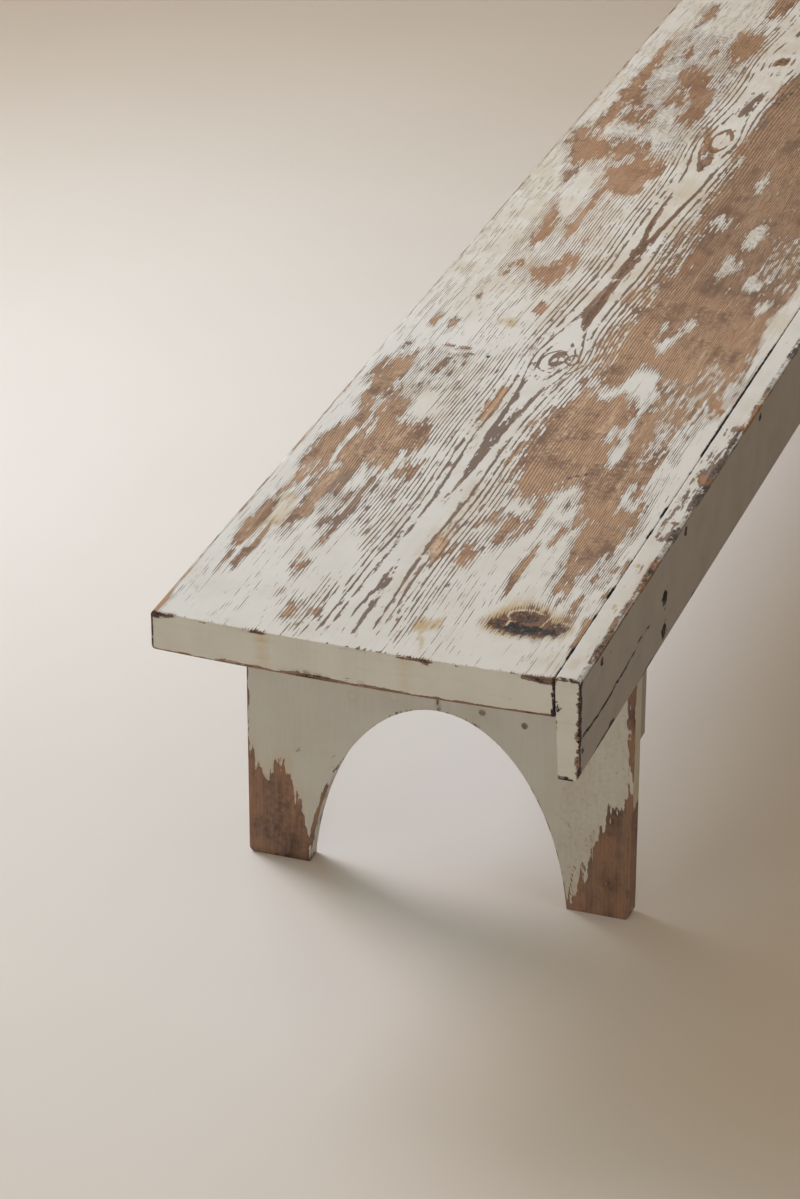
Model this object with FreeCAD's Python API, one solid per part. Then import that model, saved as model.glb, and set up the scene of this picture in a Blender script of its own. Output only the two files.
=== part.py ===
import FreeCAD, Part
import math
import os

# A long plank bench: a wide cupped seat, one apron nailed along its front edge, and two arched board legs.
# X runs along the bench with the near end at -X, the apron faces -Y, and Z is up from the floor.
# The origin is on the floor under the middle of the bench. All lengths are in millimetres.

os.makedirs("parts", exist_ok=True)

# Seat
seat_length = 2090.0
seat_width = 395.0
seat_thickness = 40.0
seat_cup = 3.5
seat_arris_radius = 4.0

# Apron
apron_thickness = 25.0
apron_height = 104.0
apron_taper = 5.0
apron_corner_radius = 7.0
apron_arris_radius = 2.0

# Legs
leg_height = 357.0
leg_thickness = 21.0
leg_overhang = 239.0
leg_shoulder = 5.0
foot_chamfer = 4.0
arch_half_width = 139.0
arch_crown_height = 201.0
arch_centre_depth = 40.0

# Cleats behind the legs
cleat_thickness = 34.0
cleat_reach_below_crown = 15.0

# Nails that hold the apron to the seat's edge
edge_nail_length = 75.0
edge_nail_shank_radius = 1.75
edge_nail_head_radius = 3.2
edge_nail_head_thickness = 1.2
edge_nail_set_depth = 0.8
edge_nail_end_distance = 66.0
edge_nail_drop = 11.5
edge_nail_count = 8

# Nails through the apron into the ends of the cleats, punched deep below its face
cleat_nail_length = 90.0
cleat_nail_shank_radius = 2.3
cleat_nail_head_radius = 5.5
cleat_nail_head_thickness = 1.8
cleat_nail_set_depth = 3.0
cleat_nail_drop_below_seat = 9.0
cleat_nail_rise_above_apron_foot = 18.0

# Nails through the leg boards into the cleats
face_nail_length = 48.0
face_nail_shank_radius = 1.6
face_nail_head_radius = 3.6
face_nail_head_thickness = 1.2
face_nail_set_depth = 0.5
face_nail_low_inner_offset = 46.0
face_nail_low_inner_rise = 22.0
face_nail_low_outer_offset = 90.0
face_nail_low_outer_rise = 15.0
face_nail_high_inner_offset = 55.0
face_nail_high_outer_offset = 150.0
face_nail_high_drop = 30.0

# Slanting nails from the cleats up into the seat
toe_nail_length = 66.0
toe_nail_shank_radius = 1.75
toe_nail_head_radius = 3.2
toe_nail_head_thickness = 1.2
toe_nail_set_depth = 1.0
toe_nail_drop = 34.0
toe_nail_angle = 32.0
toe_nail_gap_to_end_nails = 18.0
toe_nail_end_distance = 70.0
toe_nail_count = 3

# Every cutting tool runs this far past the wood that it cuts
overrun = 10.0

# Two places nearer than this are the same place
same_place_distance = 0.01

# Share of a nail's length that its point takes
nail_point_share = 0.08

# Places worked out from the sizes above
half_length = seat_length / 2
top_height = leg_height + seat_thickness
bench_width = seat_width + apron_thickness
back_y = bench_width / 2
front_y = -bench_width / 2
seam_y = back_y - seat_width
apron_foot_height = top_height - apron_height
leg_front_y = seam_y - apron_taper - leg_shoulder
leg_joint_y = (back_y + leg_front_y) / 2
leg_outer_x = half_length - leg_overhang
leg_inner_x = leg_outer_x - leg_thickness
cleat_inner_x = leg_inner_x - cleat_thickness
cleat_foot_height = arch_crown_height - cleat_reach_below_crown


def point(x, y, z):
    """A point of the bench."""
    return FreeCAD.Vector(x, y, z)


def apron_inner_y(height):
    """The apron's inner face leans, because the board is thinner at its lower edge."""
    return seam_y - apron_taper * (top_height - height) / apron_height


def prism(edges, start_x, end_x):
    """A closed outline across the bench, drawn at start_x, run along X to end_x."""
    face = Part.Face(Part.Wire(edges))
    return face.extrude(point(end_x - start_x, 0, 0))


def polyline(corners):
    """Straight edges from each corner to the next."""
    return [Part.LineSegment(a, b).toShape() for a, b in zip(corners, corners[1:])]


def cupped_edge(x, from_y, to_y, height):
    """An arc across the bench whose middle lies lower than its two ends by the seat's cup."""
    middle = point(x, (from_y + to_y) / 2, height - seat_cup)
    return Part.Arc(point(x, from_y, height), middle, point(x, to_y, height)).toShape()


def box(low, high):
    """A box between two opposite corners."""
    size = high.sub(low)
    return Part.makeBox(size.x, size.y, size.z, low)


def edges_along_x(shape, y, z):
    """The edges along the whole bench that run through one place of the cross-section."""
    place = point(0, y, z)
    found = []
    for edge in shape.Edges:
        middle = edge.CenterOfMass
        full_length = abs(edge.Length - seat_length) < same_place_distance
        if full_length and middle.distanceToPoint(place) < same_place_distance:
            found.append(edge)
    return found


def seat_blank():
    """The seat before its nail holes: cupped, with its two back arrises rounded."""
    front_top = point(-half_length, seam_y, top_height)
    front_foot = point(-half_length, apron_inner_y(leg_height), leg_height)
    back_top = point(-half_length, back_y, top_height)
    back_foot = point(-half_length, back_y, leg_height)
    outline = [
        cupped_edge(-half_length, back_y, seam_y, top_height),
        *polyline([front_top, front_foot]),
        cupped_edge(-half_length, front_foot.y, back_y, leg_height),
        *polyline([back_foot, back_top]),
    ]
    blank = prism(outline, -half_length, half_length)
    arrises = edges_along_x(blank, back_y, top_height) + edges_along_x(blank, back_y, leg_height)
    return blank.makeFillet(seat_arris_radius, arrises)


def space_above_legs():
    """Everything above the seat's underside, to trim what stands under the seat."""
    start_x = -half_length - overrun
    front_foot_y = apron_inner_y(leg_height)
    ceiling = top_height + overrun
    rim = polyline([
        point(start_x, front_foot_y, leg_height),
        point(start_x, front_foot_y - overrun, leg_height),
        point(start_x, front_foot_y - overrun, ceiling),
        point(start_x, back_y + overrun, ceiling),
        point(start_x, back_y + overrun, leg_height),
        point(start_x, back_y, leg_height),
    ])
    outline = [cupped_edge(start_x, back_y, front_foot_y, leg_height), *rim]
    return prism(outline, start_x, half_length + overrun)


def apron_blank():
    """The apron before its nail holes, with its outer arrises rounded."""
    outline = polyline([
        point(-half_length, seam_y, top_height),
        point(-half_length, front_y, top_height),
        point(-half_length, front_y, apron_foot_height),
        point(-half_length, apron_inner_y(apron_foot_height), apron_foot_height),
        point(-half_length, seam_y, top_height),
    ])
    blank = prism(outline, -half_length, half_length)
    blank = blank.makeFillet(apron_corner_radius, edges_along_x(blank, front_y, apron_foot_height))
    return blank.makeFillet(apron_arris_radius, edges_along_x(blank, front_y, top_height))


def arch_space():
    """The arch cut through legs and cleats: the upper part of an upright ellipse centred under the floor."""
    start_x = -half_length - overrun
    centre = point(start_x, leg_joint_y, -arch_centre_depth)
    crown = point(start_x, leg_joint_y, arch_crown_height)
    side = point(start_x, leg_joint_y + arch_half_width, -arch_centre_depth)
    ellipse = Part.Ellipse(crown, side, centre)
    return prism([ellipse.toShape()], start_x, half_length + overrun)


def leg_panel(outer_x, inner_x):
    """Both boards of one leg as one panel, notched at the front where the apron passes."""
    low_x, high_x = min(outer_x, inner_x), max(outer_x, inner_x)
    outline = polyline([
        point(low_x, back_y - foot_chamfer, 0),
        point(low_x, leg_front_y + foot_chamfer, 0),
        point(low_x, leg_front_y, foot_chamfer),
        point(low_x, leg_front_y, apron_foot_height),
        point(low_x, apron_inner_y(apron_foot_height), apron_foot_height),
        point(low_x, apron_inner_y(leg_height), leg_height),
        point(low_x, back_y, leg_height),
        point(low_x, back_y, foot_chamfer),
        point(low_x, back_y - foot_chamfer, 0),
    ])
    panel = prism(outline, low_x, high_x)
    return panel.cut(arch_space()).cut(space_above_legs())


def leg_boards(outer_x, inner_x):
    """The leg panel parted at its middle joint into its back board and its front board."""
    panel = leg_panel(outer_x, inner_x)
    low_x, high_x = min(outer_x, inner_x) - overrun, max(outer_x, inner_x) + overrun
    back_half = box(point(low_x, leg_joint_y, -overrun), point(high_x, back_y + overrun, top_height))
    front_half = box(point(low_x, front_y - overrun, -overrun), point(high_x, leg_joint_y, top_height))
    return panel.common(back_half), panel.common(front_half)


def cleat_blank(outer_x, inner_x):
    """The upright board behind a leg, from the seat down past the crown of the arch."""
    low_x, high_x = min(outer_x, inner_x), max(outer_x, inner_x)
    outline = polyline([
        point(low_x, back_y, cleat_foot_height),
        point(low_x, apron_inner_y(apron_foot_height), cleat_foot_height),
        point(low_x, apron_inner_y(apron_foot_height), apron_foot_height),
        point(low_x, apron_inner_y(leg_height), leg_height),
        point(low_x, back_y, leg_height),
        point(low_x, back_y, cleat_foot_height),
    ])
    return prism(outline, low_x, high_x).cut(arch_space()).cut(space_above_legs())


def nail(place, direction, length, shank_radius, head_radius, head_thickness):
    """A nail whose head's flat top is centred on place and whose point lies along direction."""
    point_length = nail_point_share * length
    shank = Part.makeCylinder(shank_radius, length - point_length, place, direction)
    tip_place = place + direction * (length - point_length)
    tip = Part.makeCone(shank_radius, 0, point_length, tip_place, direction)
    head = Part.makeCylinder(head_radius, head_thickness, place, direction)
    return head.fuse([shank, tip]).removeSplitter()


def set_nail(surface_place, direction, set_depth, length, shank_radius, head_radius, head_thickness):
    """A nail punched below the surface, and the space that it and the punch take out of the wood."""
    place = surface_place + direction * set_depth
    driven = nail(place, direction, length, shank_radius, head_radius, head_thickness)
    pit_length = set_depth + overrun
    pit = Part.makeCylinder(head_radius, pit_length, place - direction * pit_length, direction)
    return driven, driven.fuse(pit)


def edge_nails():
    """The row of nails through the apron into the seat's front edge."""
    span = seat_length - edge_nail_end_distance - edge_nail_end_distance
    pitch = span / (edge_nail_count - 1)
    first_x = -half_length + edge_nail_end_distance
    places = [point(first_x + n * pitch, front_y, top_height - edge_nail_drop) for n in range(edge_nail_count)]
    return [
        set_nail(place, point(0, 1, 0), edge_nail_set_depth, edge_nail_length,
                 edge_nail_shank_radius, edge_nail_head_radius, edge_nail_head_thickness)
        for place in places
    ]


def cleat_end_nails(side):
    """Two nails, one above the other, through the apron into a cleat's end grain."""
    x = side * (leg_inner_x + cleat_inner_x) / 2
    upper = leg_height - cleat_nail_drop_below_seat
    lower = apron_foot_height + cleat_nail_rise_above_apron_foot
    return [
        set_nail(point(x, front_y, height), point(0, 1, 0), cleat_nail_set_depth, cleat_nail_length,
                 cleat_nail_shank_radius, cleat_nail_head_radius, cleat_nail_head_thickness)
        for height in (upper, lower)
    ]


def leg_face_nails(side):
    """Nails through both boards of a leg into its cleat, alike on both sides of the middle joint."""
    high = leg_height - face_nail_high_drop
    offsets_and_heights = [
        (face_nail_low_inner_offset, cleat_foot_height + face_nail_low_inner_rise),
        (face_nail_low_outer_offset, cleat_foot_height + face_nail_low_outer_rise),
        (face_nail_high_inner_offset, high),
        (face_nail_high_outer_offset, high),
    ]
    nails = []
    for board_side in (-1, 1):
        for offset, height in offsets_and_heights:
            place = point(side * leg_outer_x, leg_joint_y + board_side * offset, height)
            nails.append(set_nail(place, point(-side, 0, 0), face_nail_set_depth, face_nail_length,
                                  face_nail_shank_radius, face_nail_head_radius, face_nail_head_thickness))
    return nails


def toe_nails(side):
    """Nails driven aslant through a cleat's inner face up into the seat."""
    slant = math.radians(toe_nail_angle)
    direction = point(side * math.sin(slant), 0, math.cos(slant))
    first_y = front_y + cleat_nail_set_depth + cleat_nail_length + toe_nail_gap_to_end_nails
    last_y = back_y - toe_nail_end_distance
    spacing = (last_y - first_y) / (toe_nail_count - 1)
    height = leg_height - toe_nail_drop
    return [
        set_nail(point(side * cleat_inner_x, first_y + n * spacing, height), direction,
                 toe_nail_set_depth, toe_nail_length,
                 toe_nail_shank_radius, toe_nail_head_radius, toe_nail_head_thickness)
        for n in range(toe_nail_count)
    ]


def drilled(wood, nail_groups):
    """Wood with the space of every nail in the groups taken out."""
    holes = [hole for group in nail_groups for _, hole in group]
    return wood.cut(holes)


def export(node, shape):
    """Write one node, as a plain solid or as a group of separate solids."""
    solids = shape.Solids
    kept = solids[0] if len(solids) == 1 else Part.makeCompound(solids)
    kept.exportStep("parts/" + node + ".step")


def export_nails(node, group):
    """Write the nails of one group as one node."""
    export(node, Part.makeCompound([driven for driven, _ in group]))


def build_bench():
    """Build every piece and write it."""
    seat_edge_group = edge_nails()
    apron_groups = [seat_edge_group]
    seat_groups = [seat_edge_group]
    export_nails("apron_seat_nails", seat_edge_group)
    for end, side in (("near", -1), ("far", 1)):
        end_group = cleat_end_nails(side)
        face_group = leg_face_nails(side)
        toe_group = toe_nails(side)
        back_board, front_board = leg_boards(side * leg_outer_x, side * leg_inner_x)
        cleat = cleat_blank(side * leg_inner_x, side * cleat_inner_x)
        export(end + "_leg_back_board", drilled(back_board, [face_group]))
        export(end + "_leg_front_board", drilled(front_board, [face_group]))
        export(end + "_leg_cleat", drilled(cleat, [end_group, face_group, toe_group]))
        export_nails(end + "_apron_cleat_nails", end_group)
        export_nails(end + "_leg_face_nails", face_group)
        export_nails(end + "_cleat_seat_nails", toe_group)
        apron_groups.append(end_group)
        seat_groups.append(toe_group)
    export("front_apron", drilled(apron_blank(), apron_groups))
    export("seat_plank", drilled(seat_blank(), seat_groups))


build_bench()
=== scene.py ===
"""A long plank bench in worn white paint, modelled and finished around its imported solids."""
import logging
import math
from dataclasses import dataclass, field
from enum import Enum
from typing import Any, Callable, Sequence, Union

import bmesh
import bpy
import numpy as np
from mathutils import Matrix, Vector


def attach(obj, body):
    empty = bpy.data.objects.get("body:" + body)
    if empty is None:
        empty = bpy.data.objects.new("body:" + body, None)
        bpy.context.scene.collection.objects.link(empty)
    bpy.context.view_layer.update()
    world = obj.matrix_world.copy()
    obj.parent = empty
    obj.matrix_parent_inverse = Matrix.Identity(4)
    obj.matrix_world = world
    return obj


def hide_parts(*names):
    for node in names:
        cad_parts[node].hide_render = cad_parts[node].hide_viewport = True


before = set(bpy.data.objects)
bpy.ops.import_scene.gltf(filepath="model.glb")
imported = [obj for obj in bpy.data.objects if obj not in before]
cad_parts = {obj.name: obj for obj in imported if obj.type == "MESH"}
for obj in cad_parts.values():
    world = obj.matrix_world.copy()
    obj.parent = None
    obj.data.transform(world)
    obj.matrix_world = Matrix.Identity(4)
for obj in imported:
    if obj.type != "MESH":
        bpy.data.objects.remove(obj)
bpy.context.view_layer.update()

LOG = logging.getLogger("bench")
MM = 0.001
BODY = "root"

HALF_LENGTH = 1.045
BACK_Y = 0.210
FRONT_Y = -0.210
SEAM_Y = -0.185
TOP_Z = 0.397
UNDERSIDE_Z = 0.357
CUP = 0.0035
APRON_FOOT_Z = 0.293
APRON_TAPER = 0.005
APRON_THICK = 0.025
JOINT_Y = 0.0075
ARCH_HALF_WIDTH = 0.139
ARCH_CENTRE_Z = -0.040
ARCH_RISE = 0.241
LEG_OUTER_X = 0.806
LEG_INNER_X = 0.785
CLEAT_INNER_X = 0.751

LENGTH_S = 2 * HALF_LENGTH / MM
SEAM_T = 395.0
FRONT_T = 420.0
JOINT_T = 202.5
APRON_DEPTH = 104.0
SEAT_DEPTH = 40.0
CROWN_HEIGHT = 202.0
SHARP_ANGLE = 50
FACING = 0.6
RING = 2.1
HEART_T = 183.0
HEART_SAMPLES = 400
HEART_EASE = 25

FIELDS = ("bare", "ring", "soot_and_shade", "stain_and_shade", "warm")

Array = np.ndarray
Blank = bmesh.types.BMesh
Finish = bpy.types.Material
Outline = tuple[float, ...]
Outlines = tuple[Outline, ...]
Stroke = tuple[tuple[float, float, float], ...]
Strokes = tuple[Stroke, ...]
Tint = tuple[float, float, float, float]
Value = Union["Signal", float, Tint]


def tint(red: int, green: int, blue: int) -> Tint:
    """Turns a colour in screen numbers from 0 to 255 into the linear colour that a shader takes.

    Args:
        red: The red number.
        green: The green number.
        blue: The blue number.

    Returns:
        The linear colour with a full alpha.
    """
    channels = []
    for number in (red, green, blue):
        share = number / 255
        low = share <= 0.04045
        channels.append(share / 12.92 if low else ((share + 0.055) / 1.055) ** 2.4)
    return channels[0], channels[1], channels[2], 1.0


def apron_inner_y(height: float) -> float:
    """The apron's inner face, which the seat's front edge follows, at a height."""
    return SEAM_Y - APRON_TAPER * (TOP_Z - height) / (TOP_Z - APRON_FOOT_Z)


def cup_drop(y: float) -> float:
    """How far the cupped seat lies below its edges.

    Args:
        y: The place across the seat.

    Returns:
        The drop in metres.
    """
    middle = (BACK_Y + SEAM_Y) / 2
    reach = (BACK_Y - SEAM_Y) / 2
    return CUP * max(0.0, 1 - ((y - middle) / reach) ** 2)


def smooth(values: Array, low: float, high: float) -> Array:
    """A soft step from 0 at low to 1 at high."""
    share = np.clip((values - low) / (high - low), 0, 1)
    return share * share * (3 - 2 * share)


class Way(Enum):
    """Which way a board's grain runs, by the number of its axis."""

    ALONG = 0
    ACROSS = 1
    UPRIGHT = 2

    def stretch(self, along: float, across: float) -> tuple[float, ...]:
        """Gives each axis its stretch, one along the grain and another across it."""
        return tuple(along if axis == self.value else across for axis in range(3))


class Signal:
    """A shader socket that takes part in Python arithmetic."""

    def __init__(self, sheet: "ShaderSheet", socket: bpy.types.NodeSocket) -> None:
        """Keeps the socket and the sheet that it is drawn on."""
        self.sheet = sheet
        self.socket = socket

    def __add__(self, other: Value) -> "Signal":
        """This value and another."""
        return self.sheet.math("ADD", self, other)

    __radd__ = __add__

    def __sub__(self, other: Value) -> "Signal":
        """This value less another."""
        return self.sheet.math("SUBTRACT", self, other)

    def __rsub__(self, other: Value) -> "Signal":
        """Another value less this."""
        return self.sheet.math("SUBTRACT", other, self)

    def __mul__(self, other: Value) -> "Signal":
        """This value times another."""
        return self.sheet.math("MULTIPLY", self, other)

    __rmul__ = __mul__

    def step(self, low: float, high: float) -> "Signal":
        """A soft step.

        Args:
            low: Where it leaves 0.
            high: Where it reaches 1.

        Returns:
            The stepped value.
        """
        node = self.sheet.node(
            "ShaderNodeMapRange",
            {"interpolation_type": "SMOOTHSTEP", "clamp": True},
            {"Value": self, "From Min": low, "From Max": high},
        )
        return Signal(self.sheet, node.outputs["Result"])

    def clamp(self) -> "Signal":
        """This value held between 0 and 1."""
        return self.sheet.math("MAXIMUM", self.sheet.math("MINIMUM", self, 1.0), 0.0)

    def part(self) -> "Signal":
        """What is left of this value after its whole number."""
        return self.sheet.math("FRACT", self)


class ShaderSheet:
    """A node tree, written node by node."""

    def __init__(self, owner: Union[Finish, bpy.types.World]) -> None:
        """Empties the tree.

        Args:
            owner: The material or world that the tree belongs to.
        """
        owner.use_nodes = True
        self.owner = owner
        self.tree = owner.node_tree
        self.tree.nodes.clear()

    def node(self, kind: str, settings: dict[str, Any], values: dict[Any, Value]) -> bpy.types.Node:
        """Adds one node.

        Args:
            kind: The node's type.
            settings: Its settings, which are set before its sockets.
            values: A number, a colour or a signal for each named or numbered socket.

        Returns:
            The new node.
        """
        made = self.tree.nodes.new(kind)
        for key, setting in settings.items():
            setattr(made, key, setting)
        for key, value in values.items():
            if isinstance(value, Signal):
                self.tree.links.new(value.socket, made.inputs[key])
            else:
                made.inputs[key].default_value = value
        return made

    def math(self, operation: str, *values: Value) -> Signal:
        """Adds a Math node on one or two values."""
        made = self.node("ShaderNodeMath", {"operation": operation}, dict(enumerate(values)))
        return Signal(self, made.outputs[0])

    def blend(self, share: Value, first: Value, second: Value) -> Signal:
        """Mixes two colours, the second by its share."""
        made = self.node("ShaderNodeMix", {"data_type": "RGBA"}, {0: share, 6: first, 7: second})
        return Signal(self, made.outputs[2])

    def field(self, name: str) -> Signal:
        """Reads one of the mesh's own fields."""
        made = self.node("ShaderNodeAttribute", {"attribute_name": name}, {})
        return Signal(self, made.outputs["Fac"])

    def place(self) -> Signal:
        """Reads the Object coordinates."""
        return Signal(self, self.node("ShaderNodeTexCoord", {}, {}).outputs["Object"])

    def axis(self, index: int) -> Signal:
        """Reads the Object coordinate along one axis, 0 to 2."""
        made = self.node("ShaderNodeSeparateXYZ", {}, {"Vector": self.place()})
        return Signal(self, made.outputs[index])

    def join(self, x: Value, y: Value, z: Value) -> Signal:
        """Makes a place of three values."""
        return Signal(self, self.node("ShaderNodeCombineXYZ", {}, {0: x, 1: y, 2: z}).outputs[0])

    def grain_space(self, stretch: tuple[float, ...]) -> Signal:
        """Stretches the Object coordinates, by so many units a metre along each axis."""
        made = self.node("ShaderNodeMapping", {}, {"Vector": self.place(), "Scale": stretch})
        return Signal(self, made.outputs["Vector"])

    def cloud(self, space: Signal, scale: float, detail: float = 2.0, rough: float = 0.55) -> Signal:
        """Soft noise around zero in a space.

        Args:
            space: The coordinates that it is read at.
            scale: Its size, as lumps a unit.
            detail: How many finer layers it has.
            rough: How strong the finer layers are.

        Returns:
            The noise, mostly between -0.25 and 0.25.
        """
        values = {"Vector": space, "Scale": scale, "Detail": detail, "Roughness": rough}
        made = self.node("ShaderNodeTexNoise", {}, values)
        return Signal(self, made.outputs[0]) - 0.5

    def shader(
        self, colour: Value, roughness: Value, relief: Signal, metallic: Value = 0.0, gloss: float = 0.5
    ) -> Signal:
        """Closes the sheet with one surface shader.

        Args:
            colour: The base colour.
            roughness: The roughness.
            relief: The height of the surface in millimetres.
            metallic: How metallic it is.
            gloss: How much it shines besides.

        Returns:
            The surface, not yet put out.
        """
        bump = self.node("ShaderNodeBump", {}, {"Strength": 1.0, "Distance": MM, "Height": relief})
        normal = Signal(self, bump.outputs["Normal"])
        values = {"Base Color": colour, "Roughness": roughness, "Metallic": metallic, "Normal": normal}
        values["Specular IOR Level"] = gloss
        return Signal(self, self.node("ShaderNodeBsdfPrincipled", {}, values).outputs[0])

    def put_out(self, shader: Signal) -> Finish:
        """Makes a surface the material's own."""
        self.node("ShaderNodeOutputMaterial", {}, {"Surface": shader})
        return self.owner

    def surface(
        self, colour: Value, roughness: Value, relief: Signal, metallic: Value = 0.0
    ) -> Finish:
        """Finishes the material with one surface, whose values are those of shader."""
        return self.put_out(self.shader(colour, roughness, relief, metallic))

    def seen(self) -> Signal:
        """Tells what the camera sees, itself, in a mirror or through glass, from what only lights.

        Returns:
            1 for what it sees and 0 for the rest.
        """
        path = self.node("ShaderNodeLightPath", {}, {})
        names = ("Is Camera Ray", "Is Glossy Ray", "Is Transmission Ray")
        camera, glossy, through = (Signal(self, path.outputs[name]) for name in names)
        return (camera + glossy + through).clamp()


@dataclass(frozen=True)
class WornPaint:
    """Old oil paint on a pine board, rubbed through to the wood along its grain."""

    name: str
    paint: Tint
    paint_low: Tint
    wood: Tint
    wood_line: Tint
    way: Way
    thin_paint: Tint = tint(196, 176, 152)
    stain_and_shade_tint: Tint = tint(186, 160, 116)
    warm_wood: Tint = tint(168, 124, 90)
    bleached: Tint = tint(212, 186, 160)
    burnt_wood: Tint = tint(110, 74, 46)
    grime_and_edge_shade: Tint = tint(110, 93, 82)
    dirt: Tint = tint(112, 80, 56)
    line_strength: float = 1.05
    soot_and_shade: Tint = tint(26, 20, 17)
    ridge_lift: float = 0.62
    ridge_floor: float = 0.10
    ridge_spread: float = 1.3
    film: float = 0.22

    def build(self) -> Finish:
        """Writes the finish as a material that reads the board's own fields.

        Returns:
            The finished material.
        """
        sheet = ShaderSheet(bpy.data.materials.new(self.name))
        stretched = sheet.grain_space(self.way.stretch(14.0, 150.0))
        plain = sheet.place()
        bare, soot_and_shade, stain_and_shade, warm = (sheet.field(name) for name in ("bare", "soot_and_shade", "stain_and_shade", "warm"))

        streaks = sheet.cloud(stretched, 1.0, 3.0, 0.6)
        fibres = sheet.cloud(stretched, 4.2, 2.0, 0.6)
        flecks = sheet.cloud(stretched, 1.9, 1.5, 0.6)
        chips = sheet.cloud(sheet.grain_space(self.way.stretch(42.0, 160.0)), 1.0, 2.5, 0.62)
        specks = sheet.cloud(plain, 620.0, 1.0)
        patches = sheet.cloud(plain, 22.0, 3.0)
        flakes = sheet.cloud(plain, 170.0, 3.0, 0.65)
        smears = sheet.cloud(stretched, 0.45, 4.0, 0.7)
        rings = sheet.field("ring") + streaks * 0.3
        turn = rings.part()
        along = sheet.axis(self.way.value)
        lines = sheet.cloud(sheet.join(along * 24.0, (rings - turn) * 5.37, 0.0), 1.0, 3.0, 0.6)
        each = sheet.cloud(sheet.join(along * 2.5, (rings - turn) * 7.91, 4.0), 1.0, 1.0)
        ridge = turn.step(0.46, 0.82) * (1.0 - turn.step(0.91, 1.0))

        rubbed = bare + ridge * (self.ridge_lift + each * self.ridge_spread) - self.ridge_floor
        torn = bare.step(-0.35, 0.25) * 0.6 + 0.4
        tears = lines * 0.9 + fibres * 0.2 + flecks * 1.1 + flakes * 0.6
        tears = tears + (chips * 3.4 + flecks * 0.9 + smears * 1.4) * torn
        rubbed = rubbed + tears + specks * 0.1
        shows = rubbed.step(-0.03, 0.03)
        isolated = 1.0 - bare.step(-0.30, 0.22)

        grain = ridge * self.line_strength + lines * 1.1 + fibres * 1.4 + smears * 0.8
        wood = sheet.blend(grain.clamp(), self.wood, self.wood_line)
        wood = sheet.blend((patches * 1.2 + smears * 1.1).clamp(), wood, self.warm_wood)
        wood = sheet.blend((smears * 3.2 + flecks * 1.6 + flakes * 1.4 - 0.20).clamp(), wood, self.bleached)
        wood = sheet.blend((0.12 - patches * 4.2 - smears * 3.4 - flakes * 2.4).clamp(), wood, self.dirt)
        wood = sheet.blend(warm.clamp(), wood, self.warm_wood)
        wood = sheet.blend((stain_and_shade * 0.9).clamp(), wood, self.burnt_wood)
        wood = sheet.blend((isolated * 0.72 - warm + fibres * 1.4).clamp(), wood, self.grime_and_edge_shade)

        soiling = 0.08 + patches * 0.9 + streaks * 0.2 + flecks * 0.25 + ridge * 0.05
        paint = sheet.blend(soiling.clamp(), self.paint, self.paint_low)
        thin = bare.step(-0.80, 0.10) * (0.10 + patches * 1.6 + smears * 1.8 + flakes * 0.5)
        paint = sheet.blend(thin.clamp(), paint, self.thin_paint)
        paint = sheet.blend((stain_and_shade * (1.0 + patches * 3.0 + flecks * 2.0)).clamp(), paint, self.stain_and_shade_tint)
        # Dark rims round the chips in the paint: partly dirt, partly painted shade for the small shadows
        # under the raised edge of the paint film. The dots are dirt.
        rim = rubbed.step(-0.16, -0.02) * 0.48
        dots = flakes.step(0.19, 0.25) * 0.30
        paint = sheet.blend((rim + dots).clamp(), paint, self.grime_and_edge_shade)

        colour = sheet.blend(shows, paint, wood)
        black = (soot_and_shade * (1.0 + flakes * 3.4 + specks * 1.6 + fibres * 1.2)).step(0.10, 0.82)
        colour = sheet.blend(black, colour, self.soot_and_shade)
        roughness = 0.50 + shows * 0.22 + patches * 0.3 + black * 0.14
        furrows = (ridge * 0.12 + fibres * 0.22) * (0.12 + shows * 0.88)
        relief = (1.0 - shows) * self.film + furrows + specks * 0.04 + patches * 0.3
        return sheet.surface(colour, roughness, relief)


@dataclass(frozen=True)
class NailIron:
    """Old iron wire nails, dark with rust."""

    name: str
    iron: Tint = tint(58, 46, 40)
    rust: Tint = tint(96, 60, 40)

    def build(self) -> Finish:
        """Writes the finish as a material on Object coordinates.

        Returns:
            The finished material.
        """
        sheet = ShaderSheet(bpy.data.materials.new(self.name))
        plain = sheet.place()
        bloom = sheet.cloud(plain, 420.0, 3.0)
        grit = sheet.cloud(plain, 1800.0, 2.0)
        rusted = (bloom * 3.0 + 0.5).clamp()
        colour = sheet.blend(rusted, self.iron, self.rust)
        return sheet.surface(colour, 0.62 + rusted * 0.25, bloom * 0.2 + grit * 0.12, 0.8 - rusted * 0.6)


@dataclass(frozen=True)
class PaintedIron:
    """Nail heads under the paint of the legs; those low in the front board have rusted through it."""

    name: str
    paint: Tint
    rust: Tint = tint(98, 78, 62)
    rust_reach_y: float = -0.015
    rust_reach_z: float = 0.240

    def build(self) -> Finish:
        """Writes the finish as a material on Object coordinates.

        Returns:
            The finished material.
        """
        sheet = ShaderSheet(bpy.data.materials.new(self.name))
        bloom = sheet.cloud(sheet.place(), 420.0, 3.0)
        front = 1.0 - sheet.axis(1).step(self.rust_reach_y - 0.001, self.rust_reach_y)
        low = 1.0 - sheet.axis(2).step(self.rust_reach_z, self.rust_reach_z + 0.001)
        rusted = (front * low * (0.75 + bloom * 1.5)).clamp()
        colour = sheet.blend(rusted, self.paint, self.rust)
        return sheet.surface(colour, 0.55 + rusted * 0.2, bloom * 0.1)


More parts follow.
